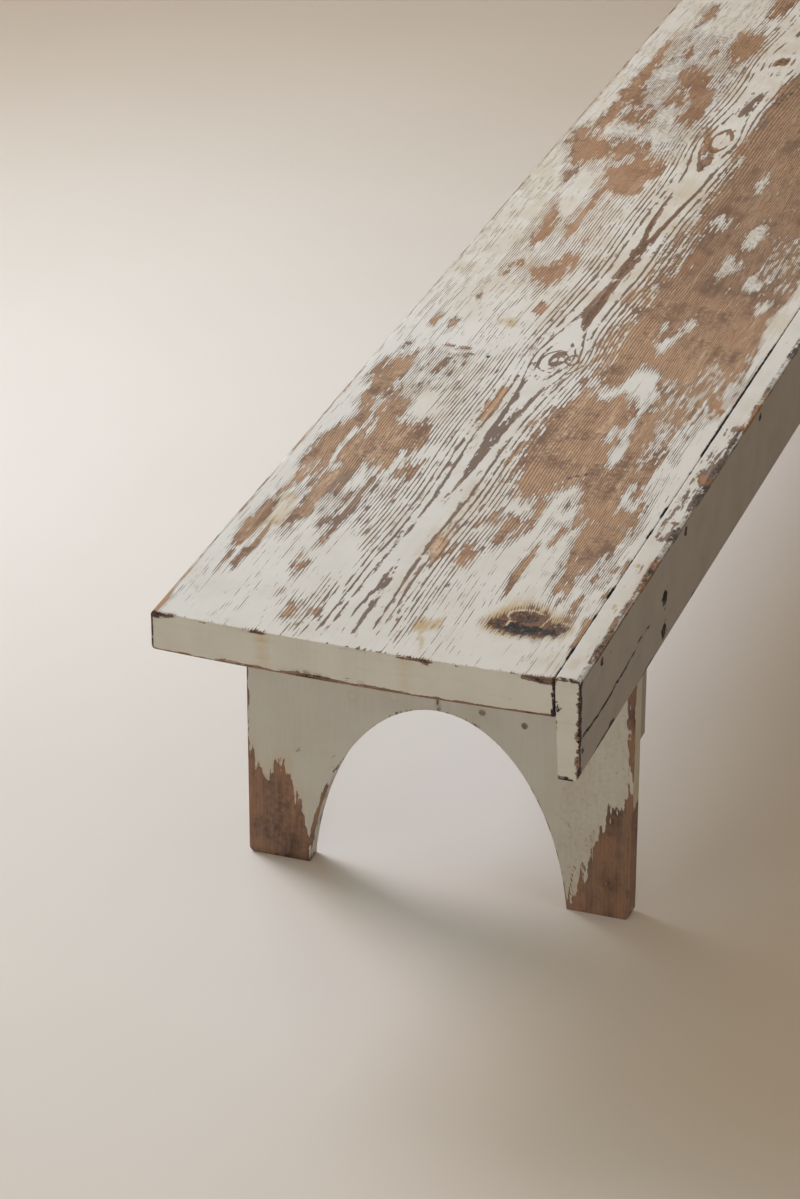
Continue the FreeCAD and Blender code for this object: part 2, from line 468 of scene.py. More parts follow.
class Cloud:
    """Smooth noise on a plane, read from a seeded table."""

    SIDE = 64

    def __init__(self, seed: int) -> None:
        """Draws the table."""
        self.table = np.random.default_rng(seed).uniform(-1, 1, (self.SIDE, self.SIDE))

    def layer(self, u: Array, v: Array) -> Array:
        """One layer of noise, whose lumps lie a unit apart.

        Args:
            u: Places along the first way.
            v: Places along the second way.

        Returns:
            The noise between -1 and 1.
        """
        column, row = np.floor(u).astype(int), np.floor(v).astype(int)
        right, up = u - column, v - row
        right, up = right * right * (3 - 2 * right), up * up * (3 - 2 * up)
        side = self.SIDE
        corners = [self.table[(column + i) % side, (row + j) % side] for j in (0, 1) for i in (0, 1)]
        low = corners[0] * (1 - right) + corners[1] * right
        high = corners[2] * (1 - right) + corners[3] * right
        return low * (1 - up) + high * up

    def read(self, u: Array, v: Array) -> Array:
        """Three layers of noise, each half as wide and half as strong as the last."""
        return sum(self.layer(u * 2**step + 17 * step, v * 2**step + 5 * step) / 2**step for step in range(3))


class Wear:
    """The fields of one board's mesh, a number a vertex, and its places in millimetres."""

    def __init__(self, mesh: bpy.types.Mesh, seed: int) -> None:
        """Reads the mesh's places and starts every field empty.

        Args:
            mesh: The board's mesh.
            seed: The seed of its own random draws.
        """
        count = len(mesh.vertices)
        flat = np.zeros(count * 3)
        mesh.vertices.foreach_get("co", flat)
        self.mesh = mesh
        self.co = flat.reshape(-1, 3)
        self.s = (self.co[:, 0] + HALF_LENGTH) / MM
        self.t = (BACK_Y - self.co[:, 1]) / MM
        self.depth = (TOP_Z - self.co[:, 2]) / MM
        self.height = self.co[:, 2] / MM
        self.seed = seed
        self.fields = {name: np.zeros(count) for name in FIELDS}
        self.fields["bare"] -= 0.9

    def face(self, u: Array, v: Array, on: Array, bend: float = 1.0) -> "Face":
        """One face of the board, read along its grain by u and across it by v where on is true."""
        return Face(self, u, v, on, bend)

    def raise_to(self, name: str, on: Array, values: Union[Array, float]) -> None:
        """Raises a field to at least the values at the vertices where on is true."""
        kept = self.fields[name]
        kept[on] = np.maximum(kept, values)[on]

    def save(self) -> None:
        """Writes the moved places and the fields back to the mesh."""
        self.mesh.vertices.foreach_set("co", self.co.ravel())
        for name, values in self.fields.items():
            layer = self.mesh.attributes.new(name, "FLOAT", "POINT")
            layer.data.foreach_set("value", values.astype(np.float32))
        self.mesh.update()


class Face:
    """One face of a board, on which wear is placed by outlines and strokes in millimetres.

    An outline is a flat run of numbers: along, across, along, across and so on around it.
    """

    END_EASE = 42.0
    SIDE_EASE = 8.0

    def __init__(self, wear: Wear, u: Array, v: Array, on: Array, bend: float) -> None:
        """Keeps the face's two directions, which vertices lie on it, and its places a little bent.

        Args:
            wear: The board's fields.
            u: Places along the grain.
            v: Places across it.
            on: Which vertices lie on the face.
            bend: How much the outlines bend.
        """
        cloud = Cloud(wear.seed)
        self.wear = wear
        self.u = u
        self.v = v
        self.on = on
        self.bent_u = u + bend * 7.0 * cloud.read(u / 40, v / 6)
        self.bent_v = v + bend * 1.4 * cloud.read(u / 30 + 31, v / 11 + 7)

    def depth_in(self, outline: Outline, ease: float = 1.0) -> tuple[Array, Array]:
        """How deep the vertices near an outline lie inside it, in shares of the ease.

        Args:
            outline: The outline.
            ease: Makes the two lengths of the ease longer or shorter.

        Returns:
            Which vertices lie near, and the depth of each, which is negative outside.
        """
        end, side = self.END_EASE * ease, self.SIDE_EASE * ease
        corner_u, corner_v = np.array(outline[::2]), np.array(outline[1::2])
        near_u = (self.bent_u > corner_u.min() - end) & (self.bent_u < corner_u.max() + end)
        near_v = (self.bent_v > corner_v.min() - side) & (self.bent_v < corner_v.max() + side)
        near = np.flatnonzero(self.on & near_u & near_v)
        u, v = self.bent_u[near] / end, self.bent_v[near] / side
        gap = np.full(len(near), np.inf)
        inside = np.zeros(len(near), bool)
        points = list(zip(corner_u / end, corner_v / side))
        for (u0, v0), (u1, v1) in zip(points, points[1:] + points[:1]):
            run_u, run_v = u1 - u0, v1 - v0
            share = np.clip(((u - u0) * run_u + (v - v0) * run_v) / (run_u**2 + run_v**2), 0, 1)
            gap = np.minimum(gap, np.hypot(u - u0 - share * run_u, v - v0 - share * run_v))
            if run_v:
                inside ^= ((v0 > v) != (v1 > v)) & (u < u0 + (v - v0) * run_u / run_v)
        return near, np.where(inside, gap, -gap)

    def rub(self, outlines: Sequence[Outline], level: float, ease: float = 1.0) -> None:
        """Rubs paint off inside the outlines.

        Args:
            outlines: Where the paint is worn.
            level: How far: above 0 the wood lies bare, below it only the grain's ridges do.
            ease: How softly the wear ends.
        """
        bare = self.wear.fields["bare"]
        full = max(level, 0.2)
        for outline in outlines:
            near, depth = self.depth_in(outline, ease)
            value = (1 + level) * np.clip((depth + 1) / (1 + full), 0, 1) - 1
            bare[near] = np.maximum(bare[near], value)

    def cap(self, outlines: Sequence[Outline], level: float, ease: float = 1.0) -> None:
        """Keeps paint inside the outlines.

        Args:
            outlines: Where it is kept.
            level: How much: all of it at a low level, streaks of it at one near 0.
            ease: How softly the kept paint ends.
        """
        bare = self.wear.fields["bare"]
        for outline in outlines:
            near, depth = self.depth_in(outline, ease)
            bare[near] = np.minimum(bare[near], np.maximum(level, -depth))

    def tone(self, name: str, outlines: Sequence[Outline], amount: float, ease: float = 1.0) -> None:
        """Moves a field towards an amount inside the outlines.

        Args:
            name: The field.
            outlines: Where it changes.
            amount: Its value well inside.
            ease: How softly it ends.
        """
        values = self.wear.fields[name]
        for outline in outlines:
            near, depth = self.depth_in(outline, ease)
            share = smooth(depth, -0.35, 0.35)
            values[near] += (amount - values[near]) * share

    def stroke(self, name: str, line: Stroke, amount: float) -> None:
        """Moves a field towards an amount along a line.

        Args:
            name: The field.
            line: Places on the line, each with its half width there.
            amount: The value on the line.
        """
        values = self.wear.fields[name]
        share = np.zeros(len(values))
        for (u0, v0, half0), (u1, v1, half1) in zip(line, line[1:]):
            run_u, run_v = u1 - u0, v1 - v0
            along = ((self.u - u0) * run_u + (self.v - v0) * run_v) / (run_u**2 + run_v**2)
            along = np.clip(along, 0, 1)
            away = np.hypot(self.u - u0 - along * run_u, self.v - v0 - along * run_v)
            half = np.maximum(half0 + (half1 - half0) * along, 0.05)
            share = np.maximum(share, 1 - smooth(away / half, 0.5, 1.5))
        values[self.on] += ((amount - values) * share)[self.on]


def stations(*runs: tuple[float, float, float]) -> list[float]:
    """Places along a line, in runs that each have their own pitch.

    Args:
        runs: For each run its start, its end and about how far apart its places are.

    Returns:
        The places in order, each once.
    """
    places: list[float] = []
    for start, end, pitch in runs:
        cells = max(1, round(abs(end - start) / pitch))
        for index in range(cells + 1):
            place = start + (end - start) * index / cells
            if not places or abs(place - places[-1]) > 1e-7:
                places.append(place)
    return places


def bend_corner(
    y: float, z: float, corner_y: float, corner_z: float, radius: float, out_y: int, out_z: int
) -> tuple[float, float]:
    """Moves a point of a square corner onto a round one.

    Args:
        y: The point's place across.
        z: The point's height.
        corner_y: The square corner's place across.
        corner_z: The square corner's height.
        radius: The radius of the round corner.
        out_y: Which way the corner points across, 1 or -1.
        out_z: Which way it points in height, 1 or -1.

    Returns:
        The moved point.
    """
    along = (y - corner_y) * out_y + radius
    up = (z - corner_z) * out_z + radius
    if along <= 0 or up <= 0:
        return y, z
    share = max(along, up) / math.hypot(along, up)
    return corner_y + (along * share - radius) * out_y, corner_z + (up * share - radius) * out_z


def section_blank(
    columns: list[float], rows: list[float], place: Callable[[float, float], Vector]
) -> Blank:
    """A flat grid of quads whose corners are set by their column and row.

    Args:
        columns: The values of the columns.
        rows: The values of the rows.
        place: Turns a column's and a row's value into a point.

    Returns:
        The grid as a mesh in the making.
    """
    bm = bmesh.new()
    across, up = len(columns) - 1, len(rows) - 1
    bmesh.ops.create_grid(bm, x_segments=across, y_segments=up, size=0.5)
    for vertex in bm.verts:
        column = columns[round((vertex.co.x + 0.5) * across)]
        row = rows[round((vertex.co.y + 0.5) * up)]
        vertex.co = place(column, row)
    return bm


def push_out(bm: Blank, move: float) -> None:
    """Extrudes the whole grid along the bench and turns every face outward.

    Args:
        bm: The grid.
        move: How far, in metres, negative towards the near end.
    """
    made = bmesh.ops.extrude_face_region(bm, geom=bm.faces[:])
    verts = [item for item in made["geom"] if isinstance(item, bmesh.types.BMVert)]
    bmesh.ops.translate(bm, verts=verts, vec=Vector((move, 0, 0)))
    bmesh.ops.recalc_face_normals(bm, faces=bm.faces[:])


def cut_edges(bm: Blank, edges: list[bmesh.types.BMEdge], cuts: int) -> None:
    """Divides edges that lie side by side into equal parts."""
    bmesh.ops.subdivide_edges(bm, edges=edges, cuts=cuts, use_grid_fill=True)


def divide_length(bm: Blank, lengths: list[float]) -> None:
    """Divides a board as long as the bench at places along it.

    Args:
        bm: The board, still undivided.
        lengths: The places in metres from the near end, both ends too.
    """
    cells = len(lengths) - 1
    cut_edges(bm, [edge for edge in bm.edges if edge.calc_length() > HALF_LENGTH], cells - 1)
    for vertex in bm.verts:
        share = (vertex.co.x + HALF_LENGTH) / (2 * HALF_LENGTH)
        vertex.co.x = lengths[min(cells, round(share * cells))] - HALF_LENGTH


def thicken(bm: Blank, move: float, cuts: int) -> None:
    """Gives an upright grid its thickness along the bench.

    Args:
        bm: The grid.
        move: The thickness in metres, negative towards the near end.
        cuts: How many rows of vertices lie within the thickness.
    """
    push_out(bm, move)
    spans = ((edge, abs(edge.verts[0].co.x - edge.verts[1].co.x)) for edge in bm.edges)
    cut_edges(bm, [edge for edge, span in spans if abs(span - abs(move)) < 1e-6], cuts)


def ease_rims(bm: Blank, width: float) -> None:
    """Bevels the sharp rims around the faces that look along the bench.

    Args:
        bm: The board.
        width: The bevel's width in metres.
    """
    rims = []
    for edge in bm.edges:
        if len(edge.link_faces) == 2:
            facing = [abs(face.normal.x) > 0.9 for face in edge.link_faces]
            if facing[0] != facing[1]:
                rims.append(edge)
    bmesh.ops.bevel(
        bm, geom=rims, offset=width, segments=2, affect="EDGES", profile=0.5, material=-1, clamp_overlap=True
    )


def refine_round(bm: Blank, centre: Vector, radius: float, cuts: int) -> None:
    """Divides the faces near a point more finely, so that a small form can be set there."""
    near = (face for face in bm.faces if (face.calc_center_median() - centre).length < radius)
    cut_edges(bm, list(dict.fromkeys(edge for face in near for edge in face.edges)), cuts)


@dataclass
class Board:
    """What every board of the bench has: a name, the solids that it stands for and a record slot, which is
    not used.
    """

    name: str
    stands_for: tuple[str, ...]
    slot: str
    seed: int

    def shape(self) -> Blank:
        """Builds the board's mesh."""
        raise NotImplementedError

    def age(self, wear: Wear) -> None:
        """Sets the board's wear."""
        raise NotImplementedError

    def finishes(self) -> list[Finish]:
        """The board's materials in slot order."""
        raise NotImplementedError

    def pick(self, normal: Vector, centre: Vector) -> int:
        """Which material a face of the board takes."""
        return 0

    def make(self) -> None:
        """Builds, ages and dresses the board and rides it on the bench."""
        bm = self.shape()
        mesh = bpy.data.meshes.new(self.name)
        bm.to_mesh(mesh)
        bm.free()
        for polygon in mesh.polygons:
            polygon.use_smooth = True
            polygon.material_index = self.pick(polygon.normal, polygon.center)
        mesh.set_sharp_from_angle(angle=math.radians(SHARP_ANGLE))
        wear = Wear(mesh, self.seed)
        self.age(wear)
        wear.save()
        piece = bpy.data.objects.new(self.name, mesh)
        for finish in self.finishes():
            mesh.materials.append(finish)
        bpy.context.scene.collection.objects.link(piece)
        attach(piece, BODY)
        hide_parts(*self.stands_for)
        LOG.info("%s: %d faces", self.name, len(mesh.polygons))


def trunk_rings(
    s: Array, t: Array, heart: Sequence[tuple[float, float]], depth: float
) -> Array:
    """Counts the yearly rings that show on the face of a board sawn beside the heart.

    Args:
        s: Places along the board.
        t: Places across it.
        heart: Along the board, by how many rings the heart's nearness changes.
        depth: How many rings the heart lies under the face.

    Returns:
        The ring count at each place.
    """
    places, offsets = zip(*heart)
    fine = np.linspace(places[0], places[-1], HEART_SAMPLES)
    level = np.interp(fine, places, offsets)
    kernel = np.hanning(HEART_EASE)
    level = np.convolve(np.pad(level, HEART_EASE // 2, mode="edge"), kernel / kernel.sum(), mode="valid")
    under = (depth + np.interp(s, fine, level)) * RING
    middle = HEART_T + 2.0 * np.sin(s / 130.0) + 1.5 * np.sin(s / 47.0 + 1.0)
    return np.hypot(t - middle, under) / RING


@dataclass
class SeatWear:
    """Where the seat's top is worn, as outlines and strokes along and across it."""

    bare: Outlines = (
        (108, 28, 130, 26, 155, 25, 170, 18, 200, 15, 222, 19, 255, 20, 258, 24, 335, 25, 335, 29, 250, 29,
        215, 31, 190, 32, 165, 30, 150, 29), (104, 39, 120, 36, 150, 34, 165, 37, 206, 40, 180, 43, 150, 43,
        125, 42), (200, 52, 225, 50, 247, 52, 300, 50, 340, 47, 345, 66, 300, 67, 246, 67, 238, 63, 205, 64,
        203, 60, 225, 57, 200, 55), (231, 82, 250, 81, 252, 90, 264, 93, 262, 104, 228, 104, 226, 98, 234,
        92), (283, 80, 292, 84, 303, 87, 298, 101, 270, 104, 268, 97, 281, 90), (185, 95, 200, 97, 335, 97,
        340, 103, 200, 104, 192, 101), (122, 100, 130, 95, 140, 91, 152, 89, 151, 97, 140, 101, 136, 105, 127,
        103), (78, 98, 86, 96, 91, 98, 84, 101), (37, 117, 60, 114, 63, 120, 61, 127, 45, 128, 39, 122), (38,
        141, 55, 138, 63, 143, 55, 148, 42, 147), (300, 26, 340, 24, 365, 17, 400, 19, 437, 23, 446, 29, 488,
        34, 512, 25, 550, 24, 555, 16, 576, 10, 604, 14, 608, 24, 662, 25, 640, 29, 622, 34, 637, 41, 606, 46,
        560, 49, 546, 56, 524, 60, 521, 74, 497, 78, 466, 76, 482, 82, 482, 92, 474, 94, 483, 101, 480, 109,
        464, 119, 441, 119, 433, 130, 424, 129, 411, 118, 400, 112, 404, 107, 372, 106, 350, 101, 362, 95,
        372, 85, 366, 79, 335, 78, 300, 79), (340, 120, 352, 115, 384, 119, 386, 128, 372, 134, 348, 134, 342,
        126), (500, 154, 545, 151, 600, 153, 590, 161, 520, 163, 505, 159), (352, 240, 375, 236, 403, 237,
        402, 224, 410, 211, 427, 206, 452, 214, 500, 214, 506, 205, 545, 206, 552, 214, 572, 230, 610, 234,
        640, 224, 690, 222, 722, 215, 752, 213, 790, 217, 850, 208, 900, 210, 950, 214, 1000, 216, 1035, 213,
        1100, 222, 1160, 214, 1300, 206, 1400, 207, 1480, 204, 1530, 201, 1560, 206, 1602, 214, 1574, 226,
        1640, 236, 1710, 244, 1642, 256, 1600, 262, 1668, 276, 1745, 284, 1660, 296, 1612, 304, 1690, 316,
        1780, 330, 1700, 344, 1620, 350, 1660, 362, 1600, 374, 1500, 384, 1300, 386, 1100, 384, 1000, 376,
        940, 374, 900, 377, 860, 371, 815, 378, 790, 377, 690, 382, 650, 376, 620, 380, 590, 392, 583, 372,
        560, 358, 520, 353, 500, 358, 470, 360, 448, 361, 412, 360, 395, 367, 380, 373, 340, 377, 300, 377,
        300, 318, 345, 313, 362, 303, 386, 299, 388, 291, 370, 282, 348, 274, 316, 278, 300, 280, 300, 270,
        330, 267, 346, 260, 351, 250), (140, 344, 175, 340, 214, 340, 222, 331, 262, 332, 300, 326, 306, 319,
        335, 317, 335, 377, 275, 373, 230, 365, 206, 367, 214, 357, 160, 355, 150, 351, 172, 347, 150, 346),
        (231, 257, 250, 253, 312, 252, 317, 262, 300, 270, 264, 272, 250, 265), (277, 272, 300, 269, 345, 269,
        345, 281, 290, 281, 280, 278), (135, 299, 160, 294, 205, 293, 224, 295, 252, 298, 250, 301, 150, 302),
        (255, 311, 268, 307, 300, 310, 335, 310, 335, 316, 290, 316, 265, 314), (100, 368, 130, 366, 168, 370,
        165, 373, 130, 373, 125, 380, 108, 379, 104, 373), (178, 372, 190, 369, 203, 370, 202, 378, 200, 385,
        189, 385, 188, 377, 180, 375), (206, 381, 230, 379, 226, 386, 210, 386), (50, 395, 60, 389, 85, 390,
        110, 387, 126, 388, 132, 395), (155, 395, 165, 389, 180, 387, 187, 394), (205, 395, 214, 390, 244,
        390, 246, 395), (418, 395, 424, 390, 432, 395), (445, 396, 452, 391, 458, 396), (184, 214, 200, 206,
        232, 199, 251, 199, 252, 211, 238, 218, 212, 226, 203, 221), (184, 238, 200, 231, 236, 229, 241, 238,
        226, 250, 206, 250, 194, 244), (275, 226, 300, 228, 302, 245, 262, 250, 262, 243, 285, 238), (600, 69,
        616, 71, 637, 77, 600, 83), (711, 32, 722, 30, 745, 31, 742, 37, 716, 37), (715, 58, 722, 51, 737, 48,
        732, 58), (778, 133, 790, 124, 807, 125, 810, 131, 795, 136), (792, 58, 800, 54, 817, 56, 800, 60),
        (862, 66, 872, 59, 882, 62, 872, 68), (888, 65, 905, 57, 914, 66, 900, 73), (850, 116, 857, 105, 870,
        94, 892, 88, 906, 97, 921, 106, 947, 111, 942, 126, 925, 133, 905, 131, 894, 121, 870, 124), (953, 68,
        970, 61, 1020, 62, 1050, 57, 1085, 59, 1060, 69, 1010, 75, 960, 75), (999, 90, 1012, 83, 1025, 85,
        1036, 92, 1150, 91, 1150, 97, 1030, 98, 1003, 100), (1128, 112, 1138, 95, 1150, 87, 1172, 84, 1205,
        82, 1216, 94, 1240, 99, 1300, 100, 1290, 106, 1262, 112, 1240, 128, 1246, 145, 1200, 143, 1190, 131,
        1165, 127, 1150, 140, 1135, 133), (1195, 42, 1208, 31, 1250, 21, 1272, 9, 1300, 11, 1332, 18, 1300,
        34, 1292, 50, 1296, 82, 1300, 96, 1270, 99, 1240, 92, 1243, 74, 1225, 62, 1204, 52), (1143, 47, 1160,
        40, 1191, 38, 1187, 49, 1160, 52), (1316, 33, 1330, 24, 1400, 25, 1404, 38, 1380, 42, 1350, 44, 1325,
        42), (1353, 52, 1380, 49, 1410, 52, 1404, 78, 1380, 86, 1353, 83), (1358, 115, 1400, 112, 1470, 118,
        1500, 128, 1440, 138, 1400, 137, 1360, 134), (1402, 31, 1440, 24, 1482, 26, 1560, 28, 1592, 27, 1660,
        30, 1600, 38, 1540, 44, 1480, 44, 1460, 54, 1420, 62, 1402, 70, 1402, 50), (1424, 92, 1440, 84, 1470,
        82, 1480, 92, 1450, 106, 1426, 106), (1456, 104, 1500, 80, 1540, 74, 1562, 90, 1560, 104, 1520, 116,
        1490, 126, 1462, 124), (1583, 62, 1600, 55, 1630, 57, 1622, 68, 1590, 69), (1608, 92, 1620, 86, 1640,
        90, 1630, 99, 1610, 98), (1590, 114, 1640, 108, 1700, 106, 1712, 120, 1700, 140, 1640, 144, 1600,
        134), (-20, -3, 40, -3, 76, -1, 70, 1.5, 45, 5, 20, 7, -20, 8),
    )
    lined: Outlines = (
        (12, 129, 60, 127, 108, 129, 106, 151, 20, 152), (215, 140, 240, 112, 300, 108, 345, 104, 345, 152,
        180, 152), (18, 152, 700, 150, 700, 172, 340, 172, 45, 170), (300, 130, 345, 133, 390, 120, 470, 118,
        560, 102, 640, 112, 660, 122, 660, 155, 300, 155), (480, 78, 560, 64, 655, 52, 656, 100, 600, 102,
        500, 100), (70, 198, 180, 192, 340, 190, 560, 196, 640, 200, 1500, 196, 1500, 212, 600, 212, 300, 212,
        70, 208), (45, 204, 340, 202, 400, 206, 400, 240, 345, 244, 260, 244, 150, 244, 70, 243), (15, 231,
        50, 230, 70, 236, 50, 238), (240, 67, 345, 64, 345, 81, 240, 79), (255, 96, 345, 96, 345, 118, 260,
        114), (540, 205, 640, 200, 720, 206, 1000, 204, 1040, 214, 1010, 240, 900, 238, 760, 228, 640, 240,
        560, 232), (185, 330, 330, 318, 330, 386, 190, 376), (300, 294, 640, 300, 640, 345, 300, 345), (480,
        333, 640, 330, 640, 392, 560, 377, 480, 377), (600, 330, 700, 340, 700, 392, 600, 392), (640, 142,
        1500, 145, 1500, 168, 1300, 168, 1000, 166, 640, 166), (520, 46, 640, 44, 640, 66, 520, 66), (1380,
        130, 1500, 120, 1700, 104, 1740, 150, 1380, 165),
    )
    faint: Outlines = (
        (60, 8, 345, 6, 345, 26, 100, 26), (90, 28, 345, 30, 345, 50, 100, 46), (20, 52, 60, 50, 110, 66, 60,
        70), (140, 60, 230, 64, 230, 84, 140, 76), (150, 98, 260, 104, 230, 116, 150, 110), (60, 255, 200,
        250, 200, 294, 60, 290), (640, 40, 860, 44, 860, 140, 640, 142), (820, 48, 960, 46, 1130, 70, 1130,
        146, 820, 140), (200, 300, 345, 296, 345, 320, 200, 326), (480, 96, 640, 94, 640, 106, 480, 106),
        (700, 8, 1150, 8, 1150, 34, 700, 34), (1150, 10, 1640, 8, 1640, 150, 1150, 150), (30, 355, 66, 352,
        66, 384, 30, 384), (135, 352, 185, 355, 185, 386, 135, 386), (400, 362, 600, 358, 600, 394, 400, 394),
        (1640, 20, 2060, 20, 2060, 380, 1640, 380), (365, 170, 560, 166, 600, 176, 560, 198, 365, 192),
    )
    lens: Outlines = (
        (36, 170, 190, 170, 192, 186, 150, 194, 22, 194), (312, 170, 640, 166, 660, 200, 312, 193), (738, 170,
        1010, 170, 1200, 163, 1230, 201, 1010, 197, 738, 195), (1226, 166, 1380, 150, 1380, 206, 1226, 200),
        (1410, 168, 1512, 170, 1512, 195, 1410, 194), (1556, 166, 1650, 166, 1650, 198, 1556, 198), (1700,
        160, 1960, 160, 1960, 204, 1700, 204),
    )
    streaky: Outlines = (
        (600, 214, 1000, 206, 1010, 240, 760, 236, 600, 248), (590, 345, 690, 345, 690, 380, 590, 378), (470,
        335, 610, 332, 610, 376, 470, 372), (300, 34, 345, 30, 345, 47, 300, 47), (590, 312, 650, 312, 650,
        345, 590, 345), (930, 330, 1060, 326, 1060, 366, 930, 366), (520, 48, 606, 46, 606, 60, 520, 62),
        (400, 205, 560, 205, 560, 222, 400, 226), (980, 216, 1060, 214, 1060, 240, 980, 240), (1160, 206,
        1280, 205, 1280, 220, 1160, 222),
    )
    kept: Outlines = (
        (342, 53, 352, 50, 367, 53, 367, 59, 350, 63, 343, 60), (349, 47, 375, 42, 403, 43, 395, 48, 360, 50),
        (404, 45, 420, 40, 448, 44, 440, 49, 415, 49), (423, 59, 440, 55, 463, 57, 450, 63, 430, 63), (300,
        82, 340, 80, 367, 80, 368, 88, 340, 94, 300, 94), (456, 52, 480, 46, 522, 41, 502, 48, 475, 54), (364,
        109, 402, 105, 405, 115, 368, 119), (385, 121, 432, 120, 440, 133, 420, 142, 395, 140, 385, 130),
        (486, 79, 560, 77, 567, 98, 530, 101, 487, 99, 484, 88), (308, 238, 345, 233, 348, 248, 339, 262, 330,
        272, 311, 273, 307, 255), (351, 279, 372, 279, 390, 290, 387, 299, 359, 300, 349, 290), (433, 314,
        455, 305, 480, 302, 505, 308, 501, 318, 460, 321, 436, 318), (496, 291, 520, 286, 537, 289, 529, 297,
        499, 298), (494, 305, 545, 301, 562, 306, 540, 311, 498, 311), (300, 298, 340, 295, 353, 304, 346,
        314, 300, 317), (360, 348, 380, 343, 406, 347, 396, 353, 363, 355), (351, 357, 370, 353, 380, 360,
        371, 367, 353, 366), (600, 249, 614, 250, 627, 262, 633, 270, 650, 270, 677, 272, 691, 279, 689, 289,
        677, 292, 669, 299, 640, 301, 600, 303, 589, 296, 608, 285, 606, 270, 591, 262, 590, 251), (600, 304,
        633, 301, 636, 310, 600, 313), (556, 306, 599, 302, 599, 311, 558, 312), (720, 283, 735, 272, 749,
        269, 757, 277, 772, 284, 781, 290, 760, 294, 745, 287, 728, 288), (777, 299, 785, 287, 812, 284, 816,
        293, 800, 300), (766, 271, 790, 267, 804, 269, 790, 274), (841, 353, 868, 350, 883, 356, 898, 364,
        870, 364, 848, 360), (932, 285, 960, 281, 1006, 282, 982, 297, 969, 309, 956, 306, 954, 297, 938,
        293), (903, 335, 920, 321, 947, 316, 955, 326, 942, 339, 912, 338), (676, 388, 700, 383, 768, 382,
        767, 393, 686, 394), (786, 377, 830, 371, 900, 377, 1000, 374, 1100, 388, 1100, 398, 786, 398), (378,
        378, 430, 376, 560, 374, 586, 386, 562, 398, 378, 398), (1043, 70, 1060, 59, 1100, 53, 1194, 51, 1197,
        66, 1160, 79, 1100, 81, 1047, 83), (1299, 50, 1318, 39, 1346, 41, 1353, 60, 1349, 85, 1308, 88, 1299,
        70), (1294, 100, 1320, 91, 1354, 91, 1356, 120, 1320, 129, 1297, 122), (1352, 95, 1380, 85, 1412, 87,
        1424, 100, 1402, 112, 1362, 111), (1030, 292, 1060, 285, 1097, 289, 1104, 303, 1060, 307, 1030, 301),
        (1078, 246, 1090, 237, 1106, 241, 1105, 257, 1082, 259), (250, 214, 276, 214, 278, 244, 250, 250),
        (1500, 48, 1560, 46, 1580, 70, 1530, 74, 1500, 66), (1780, 30, 1900, 24, 1990, 60, 1900, 120, 1800,
        110), (1800, 230, 1900, 220, 1960, 260, 1880, 290, 1800, 280), (1180, 262, 1215, 256, 1262, 260, 1230,
        268, 1196, 268), (1260, 384, 1320, 366, 1500, 376, 1440, 390, 1260, 392), (1480, 300, 1500, 291, 1600,
        296, 1640, 304, 1580, 310, 1510, 306),
    )
    far: Outlines = (
        (1760, 122, 1830, 116, 1900, 128, 1860, 144, 1780, 142), (1770, 212, 1850, 206, 1960, 214, 1930, 226,
        1800, 226), (1800, 300, 1880, 294, 1960, 304, 1900, 322, 1820, 320), (1700, 46, 1760, 40, 1790, 52,
        1740, 60), (1900, 340, 1960, 336, 2010, 344, 1960, 352), (1930, 70, 1985, 66, 2010, 76, 1950, 82),
        (2020, 160, 2060, 156, 2070, 168, 2030, 172), (1830, 360, 1900, 352, 1950, 366, 1880, 374),
    )
    cream: Outlines = (
        (200, 26, 262, 24, 280, 40, 262, 52, 210, 50), (14, 262, 40, 250, 60, 237, 76, 236, 78, 262, 60, 264,
        45, 252, 25, 260), (733, 94, 752, 92, 764, 104, 758, 118, 736, 116),
    )
    broad_cream: Outlines = (
        (0, 355, 30, 352, 46, 372, 44, 395, 0, 396), (3, 262, 10, 258, 15, 272, 8, 280), (122, 302, 148, 302,
        156, 320, 146, 340, 130, 328), (245, 198, 330, 196, 335, 240, 252, 244), (480, 60, 640, 50, 650, 130,
        560, 120, 480, 130), (920, 80, 1060, 70, 1130, 110, 1120, 142, 930, 138), (1640, 40, 1700, 36, 1720,
        60, 1650, 70), (1480, 8, 1540, 6, 1560, 22, 1500, 24),
    )
    dusky: Outlines = (
        (860, 216, 1180, 205, 1800, 200, 1820, 390, 1240, 388, 870, 376), (1240, 60, 1400, 40, 1700, 40, 1700,
        150, 1240, 150),
    )
    mixed: Outlines = (
        (1120, 40, 1200, 34, 1660, 30, 1700, 150, 1120, 148), (860, 50, 1120, 46, 1120, 142, 860, 130), (1288,
        164, 1350, 160, 1400, 170, 1390, 206, 1306, 210), (1570, 160, 1660, 160, 1670, 206, 1580, 208), (1880,
        164, 1980, 164, 1980, 214, 1880, 214),
    )
    yellowed: Outlines = ((760, -10, 2200, -10, 2200, 420, 760, 420),)
    murky: Outlines = ((840, 214, 900, 204, 1800, 200, 1820, 390, 860, 388, 850, 300),)
    grey: Outlines = (
        (226, 78, 265, 78, 306, 84, 345, 94, 345, 118, 226, 108), (250, 66, 345, 64, 345, 80, 250, 79), (30,
        170, 192, 170, 192, 194, 22, 194), (312, 168, 650, 166, 660, 200, 312, 194), (180, 160, 330, 162, 330,
        170, 180, 170), (600, 74, 640, 72, 640, 82, 600, 84), (600, 195, 1500, 196, 1500, 203, 600, 203),
        (1143, 44, 1191, 38, 1187, 50, 1143, 52), (1410, 168, 1512, 170, 1512, 195, 1410, 194), (1380, 208,
        1420, 200, 1430, 216, 1390, 222), (545, 66, 600, 66, 600, 76, 545, 76),
    )
